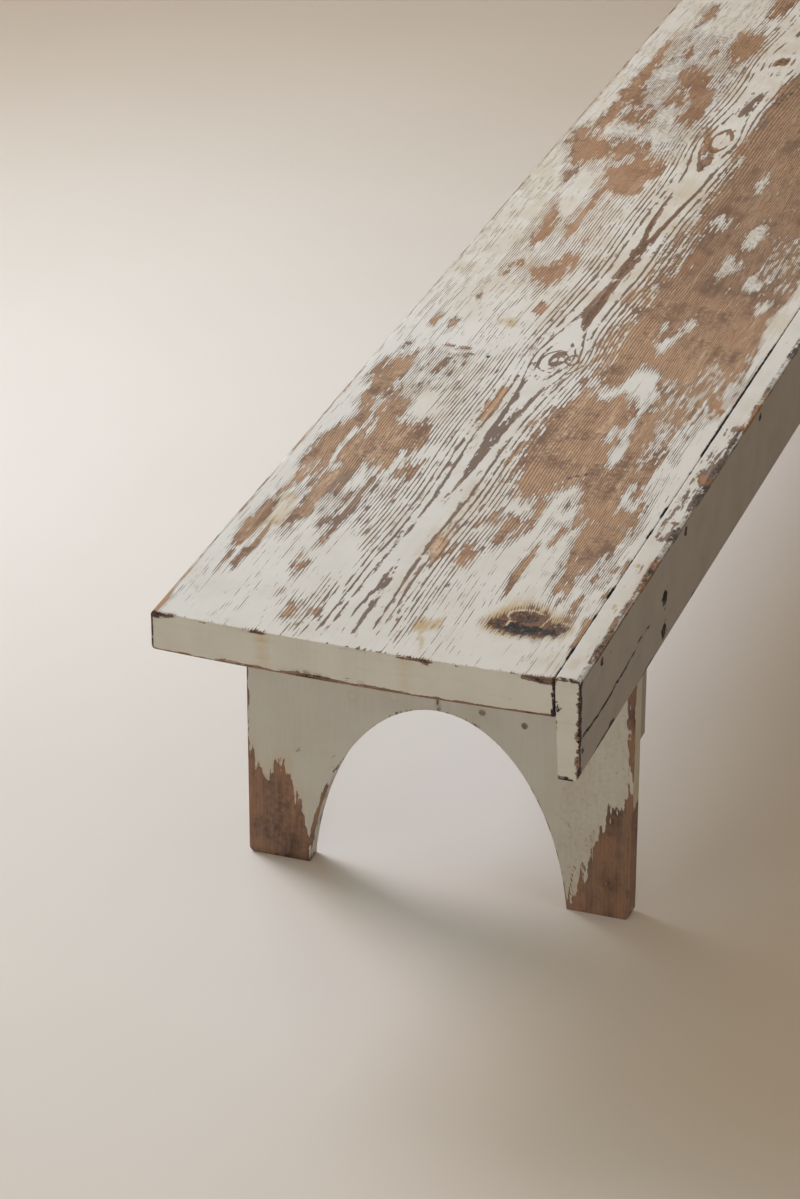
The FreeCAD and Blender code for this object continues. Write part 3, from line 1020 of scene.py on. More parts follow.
    warm: Outlines = (
        (-20, -3, 40, -3, 76, -1, 70, 1.5, 45, 5, 20, 7, -20, 8), (122, 100, 130, 95, 152, 89, 151, 97, 127,
        103), (300, 20, 320, 19, 330, 30, 300, 30), (184, 238, 236, 229, 241, 238, 206, 250), (778, 133, 790,
        124, 810, 131, 795, 136), (1240, 56, 1280, 52, 1284, 70, 1244, 74), (585, 372, 632, 372, 632, 392,
        588, 392), (950, 242, 1000, 244, 990, 262, 945, 258),
    )
    dirt_strokes: tuple[tuple[Stroke, float], ...] = (
        (((657, 57, 2.0), (659, 78, 2.2), (655, 97, 3.0)), 0.62), (((650, 117, 1.6), (659, 112, 2.2)), 0.85),
        (((403, 281, 1.6), (412, 290, 2.2), (423, 302, 1.0)), 0.62), (((503, 202, 4), (508, 214, 3)), 0.3),
        (((552, 256, 3), (558, 260, 3)), 0.34), (((460, 258, 4), (466, 264, 3)), 0.22), (((1192, 227, 7),
        (1200, 230, 7)), 0.26), (((1262, 63, 12), (1276, 66, 8)), 0.26), (((1484, 137, 7), (1498, 140, 4)),
        0.3), (((990, 215, 8), (1000, 217, 6)), 0.3), (((1480, 212, 5), (1515, 218, 7)), 0.42), (((146, 243,
        3), (151, 243, 2)), 0.5), (((470, 188, 1.6), (530, 190, 2.4), (600, 193, 1.0)), 0.26), (((455, 177,
        1.5), (520, 172, 1.6), (600, 172, 1.2)), 0.2), (((480, 182, 1.2), (560, 183, 1.2)), 0.22), (((755,
        187, 2), (800, 184, 5), (860, 184, 4), (893, 186, 2)), 0.33), (((905, 184, 3), (960, 184, 5), (1010,
        184, 4)), 0.36), (((1005, 182, 3), (1050, 177, 3), (1150, 168, 1)), 0.34), (((1010, 188, 3), (1060,
        190, 2.4), (1200, 200, 1)), 0.3), (((1238, 183, 2), (1262, 182, 7), (1290, 180, 8), (1330, 166, 5),
        (1370, 155, 4)), 0.36), (((1604, 176, 3), (1616, 182, 9), (1630, 184, 6)), 0.44), (((1418, 180, 3),
        (1440, 182, 4), (1500, 186, 3)), 0.3),
    )
    wood_strokes: tuple[tuple[Stroke, float], ...] = (
        (((650, 60, 1.6), (648, 96, 1.6)), 0.25), (((666, 62, 1.6), (668, 90, 3.0)), 0.25), (((755, 187, 2.4),
        (800, 184, 6.5), (860, 184, 5), (893, 186, 2)), 0.5), (((903, 184, 4), (960, 184, 6), (1010, 184, 5)),
        0.5), (((1005, 182, 3.4), (1050, 177, 3), (1150, 168, 1.2)), 0.5), (((1010, 188, 3.4), (1060, 190,
        2.6), (1200, 200, 1.2)), 0.5), (((1238, 183, 2), (1262, 182, 7), (1290, 180, 8), (1330, 166, 5),
        (1370, 155, 4)), 0.5), (((1604, 176, 3), (1616, 182, 9), (1630, 184, 6)), 0.5), (((1418, 180, 3),
        (1440, 182, 4), (1500, 186, 3)), 0.5),
    )
    strands: Strokes = (
        ((45, 177, 1.0), (80, 177, 2.6), (120, 179, 3.0), (150, 182, 3.4), (185, 183, 1.0)), ((28, 190, 0.8),
        (60, 189, 1.4), (100, 187, 3.2), (150, 186, 2.6), (180, 184, 0.8)), ((322, 180, 0.8), (350, 183, 2.0),
        (400, 184, 3.0), (450, 186, 3.2), (500, 188, 4.0), (540, 191, 2.6), (600, 193, 1.6), (660, 195, 1.0)),
        ((395, 182, 1.2), (440, 179, 2.0), (480, 176, 2.4), (520, 174, 1.8), (560, 173, 1.2), (640, 171,
        0.8)), ((470, 182, 1.4), (510, 184, 2.0), (545, 183, 1.2)),
    )
    knot_arcs: Strokes = (
        ((640, 189, 0.8), (641, 179, 1.1), (649, 172, 1.2), (668, 169, 1.2), (686, 173, 1.1), (697, 182, 1.0),
        (694, 190, 0.8)), ((668, 178, 0.8), (677, 179, 1.1), (684, 186, 1.3), (680, 192, 1.0), (669, 197,
        1.2), (664, 203, 1.5), (672, 209, 1.2), (684, 207, 0.9), (691, 201, 0.9), (683, 195, 0.8), (675, 199,
        0.8)), ((640, 206, 0.8), (652, 212, 1.2), (668, 216, 0.8)), ((648, 184, 0.7), (652, 188, 0.8)),
    )
    halo: Outline = (
        76, 299, 88, 291, 102, 299, 128, 309, 138, 326, 134, 347, 122, 362, 104, 380, 92, 385, 76, 376, 66,
        352, 67, 318,
    )
    burnt: Outline = (
        80, 304, 90, 299, 98, 308, 112, 313, 123, 321, 127, 335, 123, 350, 109, 358, 106, 372, 97, 379, 83,
        377, 73, 358, 71, 335, 75, 318,
    )
    coals: tuple[tuple[Outline, float], ...] = (
        ((75, 326, 84, 318, 97, 322, 96, 345, 91, 351, 80, 349, 74, 337), 0.9), ((79, 350, 93, 350, 93, 368,
        84, 373, 78, 362), 0.82), ((83, 304, 92, 303, 98, 311, 94, 318, 84, 317), 0.5), ((92, 362, 101, 360,
        104, 372, 96, 379, 86, 377), 0.46), ((100, 323, 109, 318, 117, 326, 117, 341, 109, 349, 101, 345),
        0.5),
    )
    pale_rims: Strokes = (
        ((101, 320, 1.2), (108, 315, 1.7), (117, 318, 1.7), (122, 327, 1.8), (122, 339, 1.6), (117, 349,
        1.2)), ((90, 320, 1.0), (97, 320, 1.4), (99, 327, 0.8)), ((94, 352, 1.0), (110, 355, 1.2), (120, 356,
        1.0)),
    )
    hollows: tuple[tuple[Outline, float], ...] = (
        ((75, 308, 98, 304, 100, 374, 80, 376, 74, 340), 1.1), ((101, 320, 117, 320, 118, 346, 102, 348),
        0.7),
    )


@dataclass
class SeatBoard(Board):
    """The wide cupped seat plank, seen most of all: its top is rubbed bare in the middle of its length."""

    back_arris: float = 0.004
    front_arris: float = 0.0012
    end_arris: float = 0.0016
    ring_depth: float = 38.0
    heart: tuple[tuple[float, float], ...] = (
        (0, -0.5), (42, -0.42), (110, -0.2), (185, 0.0), (250, 0.22), (320, 0.0), (450, -0.2), (560, -0.38),
        (630, -0.6), (750, -0.36), (820, -0.25), (1000, -0.3), (1080, -0.45), (1150, -0.62), (1235, -1.0),
        (1290, -1.2), (1450, -1.25), (1550, -1.5), (1700, -1.4), (1850, -1.2), (2090, -1.7),
    )
    knots: tuple[tuple[float, float, float, float, float], ...] = (
        (679, 194, 14, 8, 0.5), (675, 191, 40, 30, 1.7), (1335, 184, 14, 9, 0.5), (1335, 184, 45, 30, 1.3),
        (1618, 183, 16, 9, 0.6), (1618, 183, 45, 28, 1.2), (1930, 190, 13, 10, 0.8), (1930, 190, 40, 28, 1.4),
        (96, 336, 26, 24, 3.0),
    )
    marks: SeatWear = field(default_factory=SeatWear)

    def shape(self) -> Blank:
        """Extrudes the cupped section along the bench and divides it finely on top.

        Returns:
            The plank's mesh in the making.
        """
        columns = stations(
            (SEAM_Y, SEAM_Y + 0.001, 0.001), (SEAM_Y + 0.001, SEAM_Y + 0.005, 0.002),
            (SEAM_Y + 0.005, 0.200, 0.010), (0.200, 0.206, 0.006), (0.206, BACK_Y, 0.001),
        )
        rows = stations(
            (0, 0.001, 0.001), (0.001, 0.004, 0.003), (0.004, 0.036, 0.0064), (0.036, 0.039, 0.0015),
            (0.039, 0.040, 0.001),
        )

        def place(y: float, rise: float) -> Vector:
            """Sets a point of the near end's section.

            Args:
                y: Its place across.
                rise: Its rise from the underside.

            Returns:
                The point.
            """
            z = UNDERSIDE_Z + rise
            for corner_z, out_z in ((TOP_Z, 1), (UNDERSIDE_Z, -1)):
                y, z = bend_corner(y, z, BACK_Y, corner_z, self.back_arris, 1, out_z)
                y, z = bend_corner(y, z, SEAM_Y, corner_z, self.front_arris, -1, out_z)
            slant = apron_inner_y(z) - SEAM_Y
            share = max(0.0, (BACK_Y - y) / (BACK_Y - SEAM_Y))
            return Vector((-HALF_LENGTH, y + slant * share, z - cup_drop(y)))

        bm = section_blank(columns, rows, place)
        push_out(bm, 2 * HALF_LENGTH)
        divide_length(bm, stations(
            (0, 0.360, 0.0040), (0.360, 1.000, 0.0064), (1.000, 1.800, 0.0090), (1.800, 2.090, 0.012)
        ))
        for pitch, cuts in ((0.010, 4), (0.006, 2)):
            crossing = [edge for edge in bm.edges if self.crosses_top(edge, pitch)]
            cut_edges(bm, crossing, cuts)
        ease_rims(bm, self.end_arris)
        for s, t, radius, cuts in ((97, 340, 46, 1), (672, 190, 38, 2)):
            refine_round(bm, Vector((s * MM - HALF_LENGTH, BACK_Y - t * MM, TOP_Z)), radius * MM, cuts)
        return bm

    @staticmethod
    def crosses_top(edge: bmesh.types.BMEdge, pitch: float) -> bool:
        """Whether an edge crosses the seat's top and is about as long as the pitch.

        Args:
            edge: The edge.
            pitch: The length in metres.

        Returns:
            True when the edge is one of those.
        """
        one, two = (vertex.co for vertex in edge.verts)
        on_top = min(one.z + cup_drop(one.y), two.z + cup_drop(two.y)) > TOP_Z - 0.0005
        level = abs(one.x - two.x) < 1e-5
        return on_top and level and abs(edge.calc_length() - pitch) < 0.0012

    def age(self, wear: Wear) -> None:
        """Sets the rings, the rubbed and kept paint, the burnt knot, the seam and the ends.

        Args:
            wear: The board's fields.
        """
        s, t = wear.s, wear.t
        cup = np.array([cup_drop(y) for y in wear.co[:, 1]]) / MM
        level = wear.depth - cup
        on_top = level < 3.2
        rings = trunk_rings(s, t, self.heart, self.ring_depth)
        for middle, across, length, width, count in self.knots:
            away = (s - middle) ** 2 / (2 * length**2) + (t - across) ** 2 / (2 * width**2)
            rings = rings - count * np.exp(-away)
        wear.fields["ring"] = rings
        top = wear.face(s, t, on_top)
        marks = self.marks
        top.rub(marks.faint, -0.66, 2.0)
        top.rub(marks.lined, -0.24)
        top.rub(marks.lens, -0.46, 0.6)
        top.rub(marks.mixed, -0.34, 1.5)
        for outline in marks.bare + marks.far:
            tall = max(outline[1::2]) - min(outline[1::2])
            top.rub([outline], 1.00, float(np.clip(tall / 22, 0.38, 0.95)))
        top.cap(marks.streaky, 0.10)
        top.cap(marks.kept, -0.95, 0.5)
        for name, outlines, amount, ease in (
            ("warm", marks.mixed, 0.40, 1.5), ("warm", marks.warm, 0.55, 0.8),
            ("warm", marks.grey, -0.55, 0.6), ("stain_and_shade", marks.yellowed, 0.20, 4.0),
            ("stain_and_shade", marks.murky, 0.26, 2.0), ("stain_and_shade", marks.cream, 0.75, 0.35),
            ("stain_and_shade", marks.broad_cream, 0.14, 1.5), ("soot_and_shade", marks.dusky, 0.26, 2.0),
        ):
            top.tone(name, outlines, amount, ease)
        self.back_edge(wear)
        self.single_marks(top)
        self.sound_knot(wear.face(s, t, on_top, 0.0))
        self.burnt_knot(wear, wear.face(s, t, on_top, 0.25))
        self.seam(wear)
        self.ends(wear, on_top)
        wear.fields["bare"][level > SEAT_DEPTH - 2] = 0.9

    def back_edge(self, wear: Wear) -> None:
        """Chips the paint along the back arris.

        Args:
            wear: The board's fields.
        """
        chips = Cloud(wear.seed + 1).read(wear.s / 26, wear.t / 6)
        rim = (wear.t < 4.0) & (wear.depth < 9.0)
        wear.raise_to("bare", rim, chips * 0.35 + 0.42 - 0.16 * np.maximum(wear.t, 0))
        wear.raise_to("soot_and_shade", rim, 0.36 - 0.10 * np.maximum(wear.t, 0))

    def single_marks(self, top: Face) -> None:
        """Draws the single dark marks, burns and dirty strands.

        Args:
            top: The seat's top.
        """
        for line, amount in self.marks.dirt_strokes:
            top.stroke("soot_and_shade", line, amount)
        for line, amount in self.marks.wood_strokes:
            top.stroke("bare", line, amount)
        for line in self.marks.strands:
            top.stroke("bare", line, 0.10)
            top.stroke("warm", line, -0.60)

    def sound_knot(self, top: Face) -> None:
        """Draws the small sound knot in the middle: broken arcs round a pale oval.

        Args:
            top: The seat's top.
        """
        top.rub([(628, 168, 700, 166, 716, 190, 700, 214, 640, 214, 624, 192)], -0.30, 0.4)
        for line in self.marks.knot_arcs:
            top.stroke("bare", line, 0.85)
            top.stroke("warm", line, -0.8)
            top.stroke("soot_and_shade", line, 0.22)

    def burnt_knot(self, wear: Wear, top: Face) -> None:
        """The big dead knot near the end: its resin has burnt through the paint.

        Args:
            wear: The board's fields.
            top: The seat's top.
        """
        marks = self.marks
        top.tone("stain_and_shade", [marks.halo], 0.80, 0.9)
        top.tone("stain_and_shade", [marks.burnt], 1.0, 0.4)
        top.rub([marks.burnt], 0.85, 0.35)
        top.tone("warm", [marks.burnt], 0.45, 0.5)
        top.tone("soot_and_shade", [marks.burnt], 0.32, 0.35)
        for outline, amount in marks.coals:
            top.tone("soot_and_shade", [outline], amount, 0.22)
        for line in marks.pale_rims:
            top.stroke("soot_and_shade", line, 0.02)
            top.stroke("bare", line, -0.5)
            top.stroke("stain_and_shade", line, 0.45)
        top.stroke("soot_and_shade", ((95, 338, 2.0), (97, 348, 2.4), (96, 356, 1.6)), 0.20)
        top.stroke("warm", ((95, 338, 2.4), (97, 348, 3.0), (96, 356, 2.0)), 1.0)
        sunk = np.zeros(len(wear.s))
        for outline, deep in ((marks.burnt, 0.5),) + marks.hollows:
            near, depth = top.depth_in(outline, 0.4)
            sunk[near] += deep * smooth(depth, -0.3, 0.8)
        wear.co[:, 2] -= sunk * (1 + 0.5 * Cloud(5).read(wear.s / 5, wear.t / 5)) * MM

    def seam(self, wear: Wear) -> None:
        """Opens the seam at the apron in uneven lengths, with dark dirt in it.

        Args:
            wear: The board's fields.
        """
        open_gap = seam_gap(wear.s)
        front = wear.t > 392.0
        fade = 1 - smooth(wear.depth, 2.0, 14.0)
        close = 1 - smooth(SEAM_T - wear.t, 0.4, 2.6)
        wear.co[:, 1] += np.where(front, open_gap * fade * close, 0) * MM
        dirty = (1 - smooth(SEAM_T - wear.t, 0.2, 1.8)) * np.clip(0.30 + open_gap * 0.5, 0, 1)
        wear.raise_to("soot_and_shade", front & (wear.depth < SEAT_DEPTH - 1), dirty)

    def ends(self, wear: Wear, on_top: Array) -> None:
        """Dirties and chips the two ends and opens the joint beside the apron's end.

        Args:
            wear: The board's fields.
            on_top: Which vertices lie on the seat's top.
        """
        places, levels = zip(*END_CHIPS)
        worn = np.interp(wear.t, places, levels)
        for end, seed in ((0.0, 40), (LENGTH_S, 50)):
            away = np.abs(wear.s - end)
            near = away < 3.0
            fine = Cloud(seed).read(wear.t / 5, wear.depth / 4 + away / 3)
            broad = Cloud(seed + 1).read(wear.t / 24, wear.depth / 20)
            rim = (away < 7.0) & (on_top | near) & (wear.depth < 12)
            below = np.where(near & ~on_top, np.maximum(wear.depth - 3.5, 0) * 0.20, 0)
            drop = np.where(on_top, away * 0.20, 0) + below
            level = worn + fine * 0.30 + broad * 0.22 - drop - 0.10
            wear.raise_to("bare", rim, level)
            wear.raise_to("soot_and_shade", rim, np.clip(level * 0.9 + 0.16, 0, 0.62))
            wear.fields["warm"][rim] = -0.3
            face = wear.face(wear.t, wear.depth, near)
            for middle, half, amount in ((112.0, 2.8, 0.55), (250.2, 1.6, 0.25), (255.0, 1.8, 0.35)):
                face.stroke("stain_and_shade", ((middle, -9, half), (middle, 50, half)), amount)
            face.stroke("soot_and_shade", ((328, 18, 0.8), (331, 16, 0.9), (333, 19, 0.8)), 0.35)
            low = near & (wear.depth > SEAT_DEPTH - 2)
            lower = fine * 0.2 + broad * 0.3 - 0.35 + np.where((wear.t > 100) & (wear.t < 245), 0.25, 0.0)
            wear.raise_to("bare", low, lower)
            wear.raise_to("soot_and_shade", low, np.clip(lower + 0.35, 0, 0.6))
            left = near & (wear.t < 2.5)
            wear.raise_to("bare", left, 0.4 + fine * 0.6)
            wear.raise_to("soot_and_shade", left, 0.55 + fine * 0.3)
            side = near & (wear.t > 393.6 + fine * 1.6)
            wear.raise_to("bare", side, 0.3)
            wear.raise_to("soot_and_shade", side, 0.8)
            gap = (1 - smooth(away, 3.0, 16.0)) * np.clip((wear.t - 391.0) / 4.0, 0, 1) * (1.1 + fine * 0.9)
            wear.co[:, 1] += np.where((wear.t > 389) & (wear.depth > 4), np.maximum(gap, 0), 0) * MM

    def finishes(self) -> list[Finish]:
        """White paint on top, duller paint on the edges and bare pine below."""
        return [PAINTS["top"], PAINTS["end"], PAINTS["raw"]]

    def pick(self, normal: Vector, centre: Vector) -> int:
        """Chooses the finish by which way the face looks.

        Args:
            normal: The way it looks.
            centre: The middle of the face, which is not used.

        Returns:
            The finish's place in the list.
        """
        if normal.z > FACING:
            return 0
        return 2 if normal.z < -FACING else 1


END_CHIPS = (
    (0, 0.45), (24, 0.3), (32, -0.22), (92, -0.18), (98, 0.3), (105, 0.4), (111, 0.15), (118, -0.35), (158,
    -0.3), (164, 0.1), (170, -0.2), (178, -0.05), (205, 0.05), (240, 0.1), (264, 0.35), (270, 0.45), (275,
    -0.3), (350, -0.2), (357, 0.3), (395, 0.4), (420, 0.5),
)


GAP_OPEN = (
    (0, 1.0), (14, 0.8), (34, 0.1), (40, 1.2), (62, 1.3), (66, 0.1), (118, 0.1), (122, 1.0), (130, 1.0), (134,
    0.1), (165, 0.1), (168, 1.4), (190, 1.4), (194, 0.1), (244, 0.1), (247, 0.8), (252, 0.1), (296, 0.1),
    (300, 1.1), (315, 1.1), (320, 0.1), (344, 0.1), (348, 1.3), (368, 1.3), (373, 0.1), (446, 0.1), (449,
    1.1), (456, 0.1), (488, 0.1), (494, 1.3), (560, 1.3), (600, 0.9), (640, 1.2), (765, 1.3), (790, 0.3),
    (900, 0.3), (930, 1.1), (1080, 1.3), (1110, 0.3), (1300, 0.3), (1340, 1.3), (1600, 1.2), (1640, 0.3),
    (1800, 0.3), (1830, 1.2), (2090, 1.4),
)


def seam_gap(s: Array) -> Array:
    """How far the seam between seat and apron stands open along the bench, in millimetres."""
    places, gaps = zip(*GAP_OPEN)
    return np.interp(s, places, gaps)


@dataclass
class ApronBoard(Board):
    """The front apron: a narrow board on edge, nailed to the seat, with a long crack near its end."""

    foot_arris: float = 0.007
    top_arris: float = 0.002
    inner_arris: float = 0.001
    end_arris: float = 0.0016
    nail_pitch: float = 279.7
    nail_start: float = 66.0
    nail_drop: float = 11.5
    nail_count: int = 8
    crack_row: float = 62.0
    crack_reach: float = 12.0
    crack_end: float = 236.0
    pits: tuple[tuple[float, float], ...] = ((277.0, 49.0), (277.0, 86.0), (1813.0, 49.0), (1813.0, 86.0))
    crack: tuple[tuple[float, float, float], ...] = (
        (0, 62, 0.7), (14, 62, 1.0), (60, 63, 1.0), (110, 62, 0.9), (128, 61, 0.6), (150, 60, 0.4), (176, 58,
        0.25), (186, 53, 0.1), (192, 52, 0.45), (205, 53, 0.1), (222, 55, 0.35), (232, 55, 0.0),
    )
    top_chips: Outlines = (
        (158, 416, 164, 413, 172, 412, 178, 415, 177, 421, 159, 421), (200, 416, 206, 412, 212, 415, 212, 421,
        201, 421), (240, 416, 246, 413, 251, 416, 250, 421, 240, 421), (430, 412, 438, 407, 446, 406, 450,
        412, 450, 421, 431, 421), (563, 415, 572, 411, 580, 415, 582, 421, 562, 421), (556, 417, 660, 417,
        660, 422, 556, 422), (1010, 415, 1030, 412, 1040, 421, 1008, 421), (1380, 414, 1400, 412, 1420, 421,
        1376, 421),
    )
    dark_chips: Outlines = (
        (550, 417.5, 640, 418, 700, 417, 785, 418, 785, 422, 550, 422), (900, 417.5, 1040, 417, 1040, 422,
        900, 422), (1500, 417, 1660, 417.5, 1660, 422, 1500, 422),
    )
    top_lines: Outlines = (
        (40, 400, 1900, 400, 1900, 418, 40, 418), (600, 396, 800, 396, 800, 404, 600, 404), (1000, 396, 1300,
        396, 1300, 405, 1000, 405), (1600, 396, 2000, 396, 2000, 408, 1600, 408),
    )
    rusty_marks: Strokes = (
        ((149, 406, 2.2), (154, 406, 1.6)), ((237, 402, 2.0), (243, 402, 1.4)), ((432, 403, 1.0), (447, 402,
        1.2)),
    )
    dark_marks: tuple[tuple[Stroke, float], ...] = (
        (((94, 15, 0.8), (96, 27, 0.6)), 0.6), (((96, 97, 3.0), (103, 95, 3.6), (110, 98, 2.4)), 0.85),
        (((380, 98, 1.8), (386, 98, 1.6)), 0.8), (((6, 73, 2.0), (12, 77, 2.6)), 0.7), (((2, 92, 3.0), (9, 95,
        2.2)), 0.7), (((276, 61, 1.4), (280, 64, 1.2)), 0.55),
    )

    def shape(self) -> Blank:
        """Extrudes the tapered section along the bench, with extra rows for the crack.

        Returns:
            The apron's mesh in the making.
        """
        outer = stations((0, 0.002, 0.001), (0.002, 0.023, 0.003), (0.023, 0.025, 0.001))
        drops = stations(
            (0, 0.002, 0.001), (0.002, 0.0578, 0.0028), (0.0578, 0.0606, 0.0014), (0.0606, 0.0634, 0.0007),
            (0.0634, 0.0662, 0.0014), (0.0662, 0.097, 0.0028), (0.097, 0.104, 0.0014),
        )

        def place(inward: float, drop: float) -> Vector:
            """Sets a point of the near end's section.

            Args:
                inward: Its place inward from the face, before the taper.
                drop: Its drop from the top.

            Returns:
                The point.
            """
            thickness = APRON_THICK - APRON_TAPER * drop / (TOP_Z - APRON_FOOT_Z)
            y = FRONT_Y + inward / APRON_THICK * thickness
            z = TOP_Z - drop
            inner = apron_inner_y(z)
            y, z = bend_corner(y, z, FRONT_Y, TOP_Z, self.top_arris, -1, 1)
            y, z = bend_corner(y, z, FRONT_Y, APRON_FOOT_Z, self.foot_arris, -1, -1)
            y, z = bend_corner(y, z, inner, TOP_Z, self.inner_arris, 1, 1)
            y, z = bend_corner(y, z, inner, APRON_FOOT_Z, self.inner_arris, 1, -1)
            return Vector((-HALF_LENGTH, y, z))

        bm = section_blank(outer, drops, place)
        push_out(bm, 2 * HALF_LENGTH)
        divide_length(bm, stations((0, 0.360, 0.0036), (0.360, 1.000, 0.0065), (1.000, 2.090, 0.009)))
        ease_rims(bm, self.end_arris)
        for s, drop, radius, cuts in self.holes():
            centre = Vector((s * MM - HALF_LENGTH, FRONT_Y, TOP_Z - drop * MM))
            refine_round(bm, centre, radius * 1.5 * MM, cuts)
        return bm

    def holes(self) -> list[tuple[float, float, float, int]]:
        """Each nail's place along and down the face, its dimple's radius and how finely it is divided."""
        along = (self.nail_start + self.nail_pitch * index for index in range(self.nail_count))
        return [(s, self.nail_drop, 5.0, 2) for s in along] + [(s, drop, 8.0, 2) for s, drop in self.pits]

    def age(self, wear: Wear) -> None:
        """Sets the crack, nail dimples, chipped arrises, the worn top edge and the dark marks of the face.

        Args:
            wear: The board's fields.
        """
        s, depth = wear.s, wear.depth
        on_face = wear.co[:, 1] < FRONT_Y + 0.0016
        face = wear.face(s, depth, on_face)
        wear.fields["ring"] = 60 + depth / 7.5 + 0.25 * np.sin(s / 90) + 0.15 * np.sin(s / 31)
        self.open_crack(wear, face)
        self.sink_nails(wear, face)
        self.chip_arrises(wear, on_face)
        top = wear.face(s, wear.t, wear.depth < 2.4)
        top.rub(self.top_lines, -0.45, 0.5)
        top.rub(self.top_chips, 0.75, 0.4)
        top.tone("warm", self.top_chips, 0.7, 0.5)
        top.tone("soot_and_shade", self.dark_chips, 0.30, 0.2)
        for line in self.rusty_marks:
            top.stroke("stain_and_shade", line, 0.9)
            top.stroke("soot_and_shade", line, 0.16)
        top.tone("stain_and_shade", [(26, 399, 44, 399, 46, 407, 26, 407)], 0.25, 0.4)
        inner = (wear.t < SEAM_T + 1.6) & (depth < SEAT_DEPTH - 2)
        dirty = (1 - smooth(wear.t - SEAM_T, 0.2, 1.5)) * np.clip(0.25 + seam_gap(s) * 0.5, 0, 1)
        wear.raise_to("soot_and_shade", inner, dirty)
        for line, amount in self.dark_marks:
            face.stroke("soot_and_shade", line, amount)
            face.stroke("bare", line, 0.3)
        self.dirty_ends(wear)
        within = (wear.co[:, 1] > FRONT_Y + 0.010) & (wear.depth > 42) & (s > 2.0) & (s < LENGTH_S - 2.0)
        wear.fields["bare"][within] = 0.7

    def chip_arrises(self, wear: Wear, on_face: Array) -> None:
        """Chips the outer arrises above and below.

        Args:
            wear: The board's fields.
            on_face: Which vertices lie on the outer face.
        """
        s, depth = wear.s, wear.depth
        away = np.maximum(np.minimum(depth, FRONT_T - wear.t), 0)
        fine = Cloud(wear.seed + 3).read(s / 34, away / 3)
        broad = Cloud(wear.seed + 4).read(s / 110, away / 9)
        arris = (depth < 4.2) & (wear.t > 414.0)
        level = fine * 0.26 + broad * 0.24 + 0.02 - 0.22 * away
        wear.raise_to("bare", arris, level)
        dirty = np.interp(s, (0, 800, 1000, 2090), (0.42, 0.42, 0.32, 0.32))
        wear.raise_to("soot_and_shade", arris, np.clip(dirty - 0.42 * away + fine * 0.12, 0, 1))
        wear.fields["warm"][arris] = np.clip(broad - 0.3, -0.6, 0.3)[arris]
        wear.co[:, 2] -= np.where(arris & (depth < 1.6), np.clip(level + 0.1, 0, 0.5), 0) * MM
        low = (depth > 95.0) & on_face
        share = np.interp(s, (0, 105, 130, 400, 2090), (0.30, 0.22, -0.12, -0.25, -0.25))
        worn = fine * 0.5 + broad * 0.35 + share - 0.12 * np.maximum(100.5 - depth, 0)
        wear.raise_to("bare", low, worn)
        wear.raise_to("soot_and_shade", low, np.clip(worn * 1.2 + 0.2, 0, 0.85))

    def open_crack(self, wear: Wear, face: Face) -> None:
        """Opens the crack along its own rows of the mesh.

        Args:
            wear: The board's fields.
            face: The outer face, whose places down it are read again afterwards.
        """
        places, drops, widths = (np.array(column) for column in zip(*self.crack))
        wander = 0.9 * Cloud(wear.seed + 7).read(wear.s / 14, wear.s * 0)
        uneven = 1 + 0.45 * Cloud(wear.seed + 8).read(wear.s / 9, wear.s * 0)
        middle = np.interp(wear.s, places, drops) + wander
        width = np.interp(wear.s, places, widths, right=0) * uneven
        off_row = np.abs(wear.depth - self.crack_row)
        pull = face.on & (off_row < self.crack_reach)
        ease = 1 - np.clip(off_row / self.crack_reach, 0, 1)
        shift = (middle - self.crack_row) * ease
        wear.co[:, 2] -= np.where(pull & (wear.s < self.crack_end), shift, 0) * MM
        wear.depth = (TOP_Z - wear.co[:, 2]) / MM
        face.v = wear.depth
        across = np.abs(wear.depth - middle)
        groove = np.clip(1 - across / 1.4, 0, 1) * width
        wear.co[:, 1] += np.where(face.on, groove * 5.0, 0) * MM
        dark = np.clip(1.6 - across / 1.5, 0, 1) * np.clip(width * 2.2, 0, 1)
        wear.raise_to("soot_and_shade", face.on, dark)
        wear.raise_to("bare", face.on, dark * 1.5 - 0.9)

    def sink_nails(self, wear: Wear, face: Face) -> None:
        """Sinks a dimple round each nail and dirties it.

        Args:
            wear: The board's fields.
            face: The outer face.
        """
        for s, drop, radius, _ in self.holes():
            away = np.hypot(wear.s - s, wear.depth - drop)
            deep = 3.4 if radius > 6 else 1.1
            bowl = 1 - smooth(away, radius * 0.45, radius * 0.9)
            wear.co[:, 1] += np.where(face.on, bowl * deep, 0) * MM
            ragged = away * (1 + 0.3 * Cloud(wear.seed + 9).read(wear.s / 4, wear.depth / 4))
            dark = 1 - smooth(ragged, radius * 0.80, radius * 1.25)
            wear.raise_to("soot_and_shade", face.on, dark * 0.95)
            wear.raise_to("bare", face.on, dark * 1.6 - 0.9)

    def dirty_ends(self, wear: Wear) -> None:
        """Blackens the arrises of the two ends in an uneven line.

        Args:
            wear: The board's fields.
        """
        for end, seed in ((0.0, 60), (LENGTH_S, 70)):
            away = np.abs(wear.s - end)
            fine = Cloud(seed).read((wear.t + away) / 4, wear.depth / 7)
            outer = np.minimum(FRONT_T - wear.t, APRON_DEPTH - wear.depth) * 0.75
            inner = np.maximum(wear.t - 395.6, 0) + 0.8
            reach = np.minimum(np.minimum(outer, inner), wear.depth * 1.3 + 0.4)
            rim = (away < 6.0) & (reach < 5.0)
            level = 0.78 + fine * 0.55 - reach * 0.34 - np.maximum(away - 3.0, 0) * 0.22
            wear.raise_to("bare", rim, level)
            wear.raise_to("soot_and_shade", rim, np.clip(level * 1.25, 0, 0.95))
            spot = (away < 3.0) & (np.hypot(wear.t - 398.5, wear.depth - 30) < 3.0)
            wear.fields["soot_and_shade"][spot] = 0.75

    def finishes(self) -> list[Finish]:
        """White paint on the top edge, darker paint on the face as painted shade, bare pine inside and the
        edge paint on the ends.
        """
        return [PAINTS["top"], PAINTS["face"], PAINTS["raw"], PAINTS["end"]]

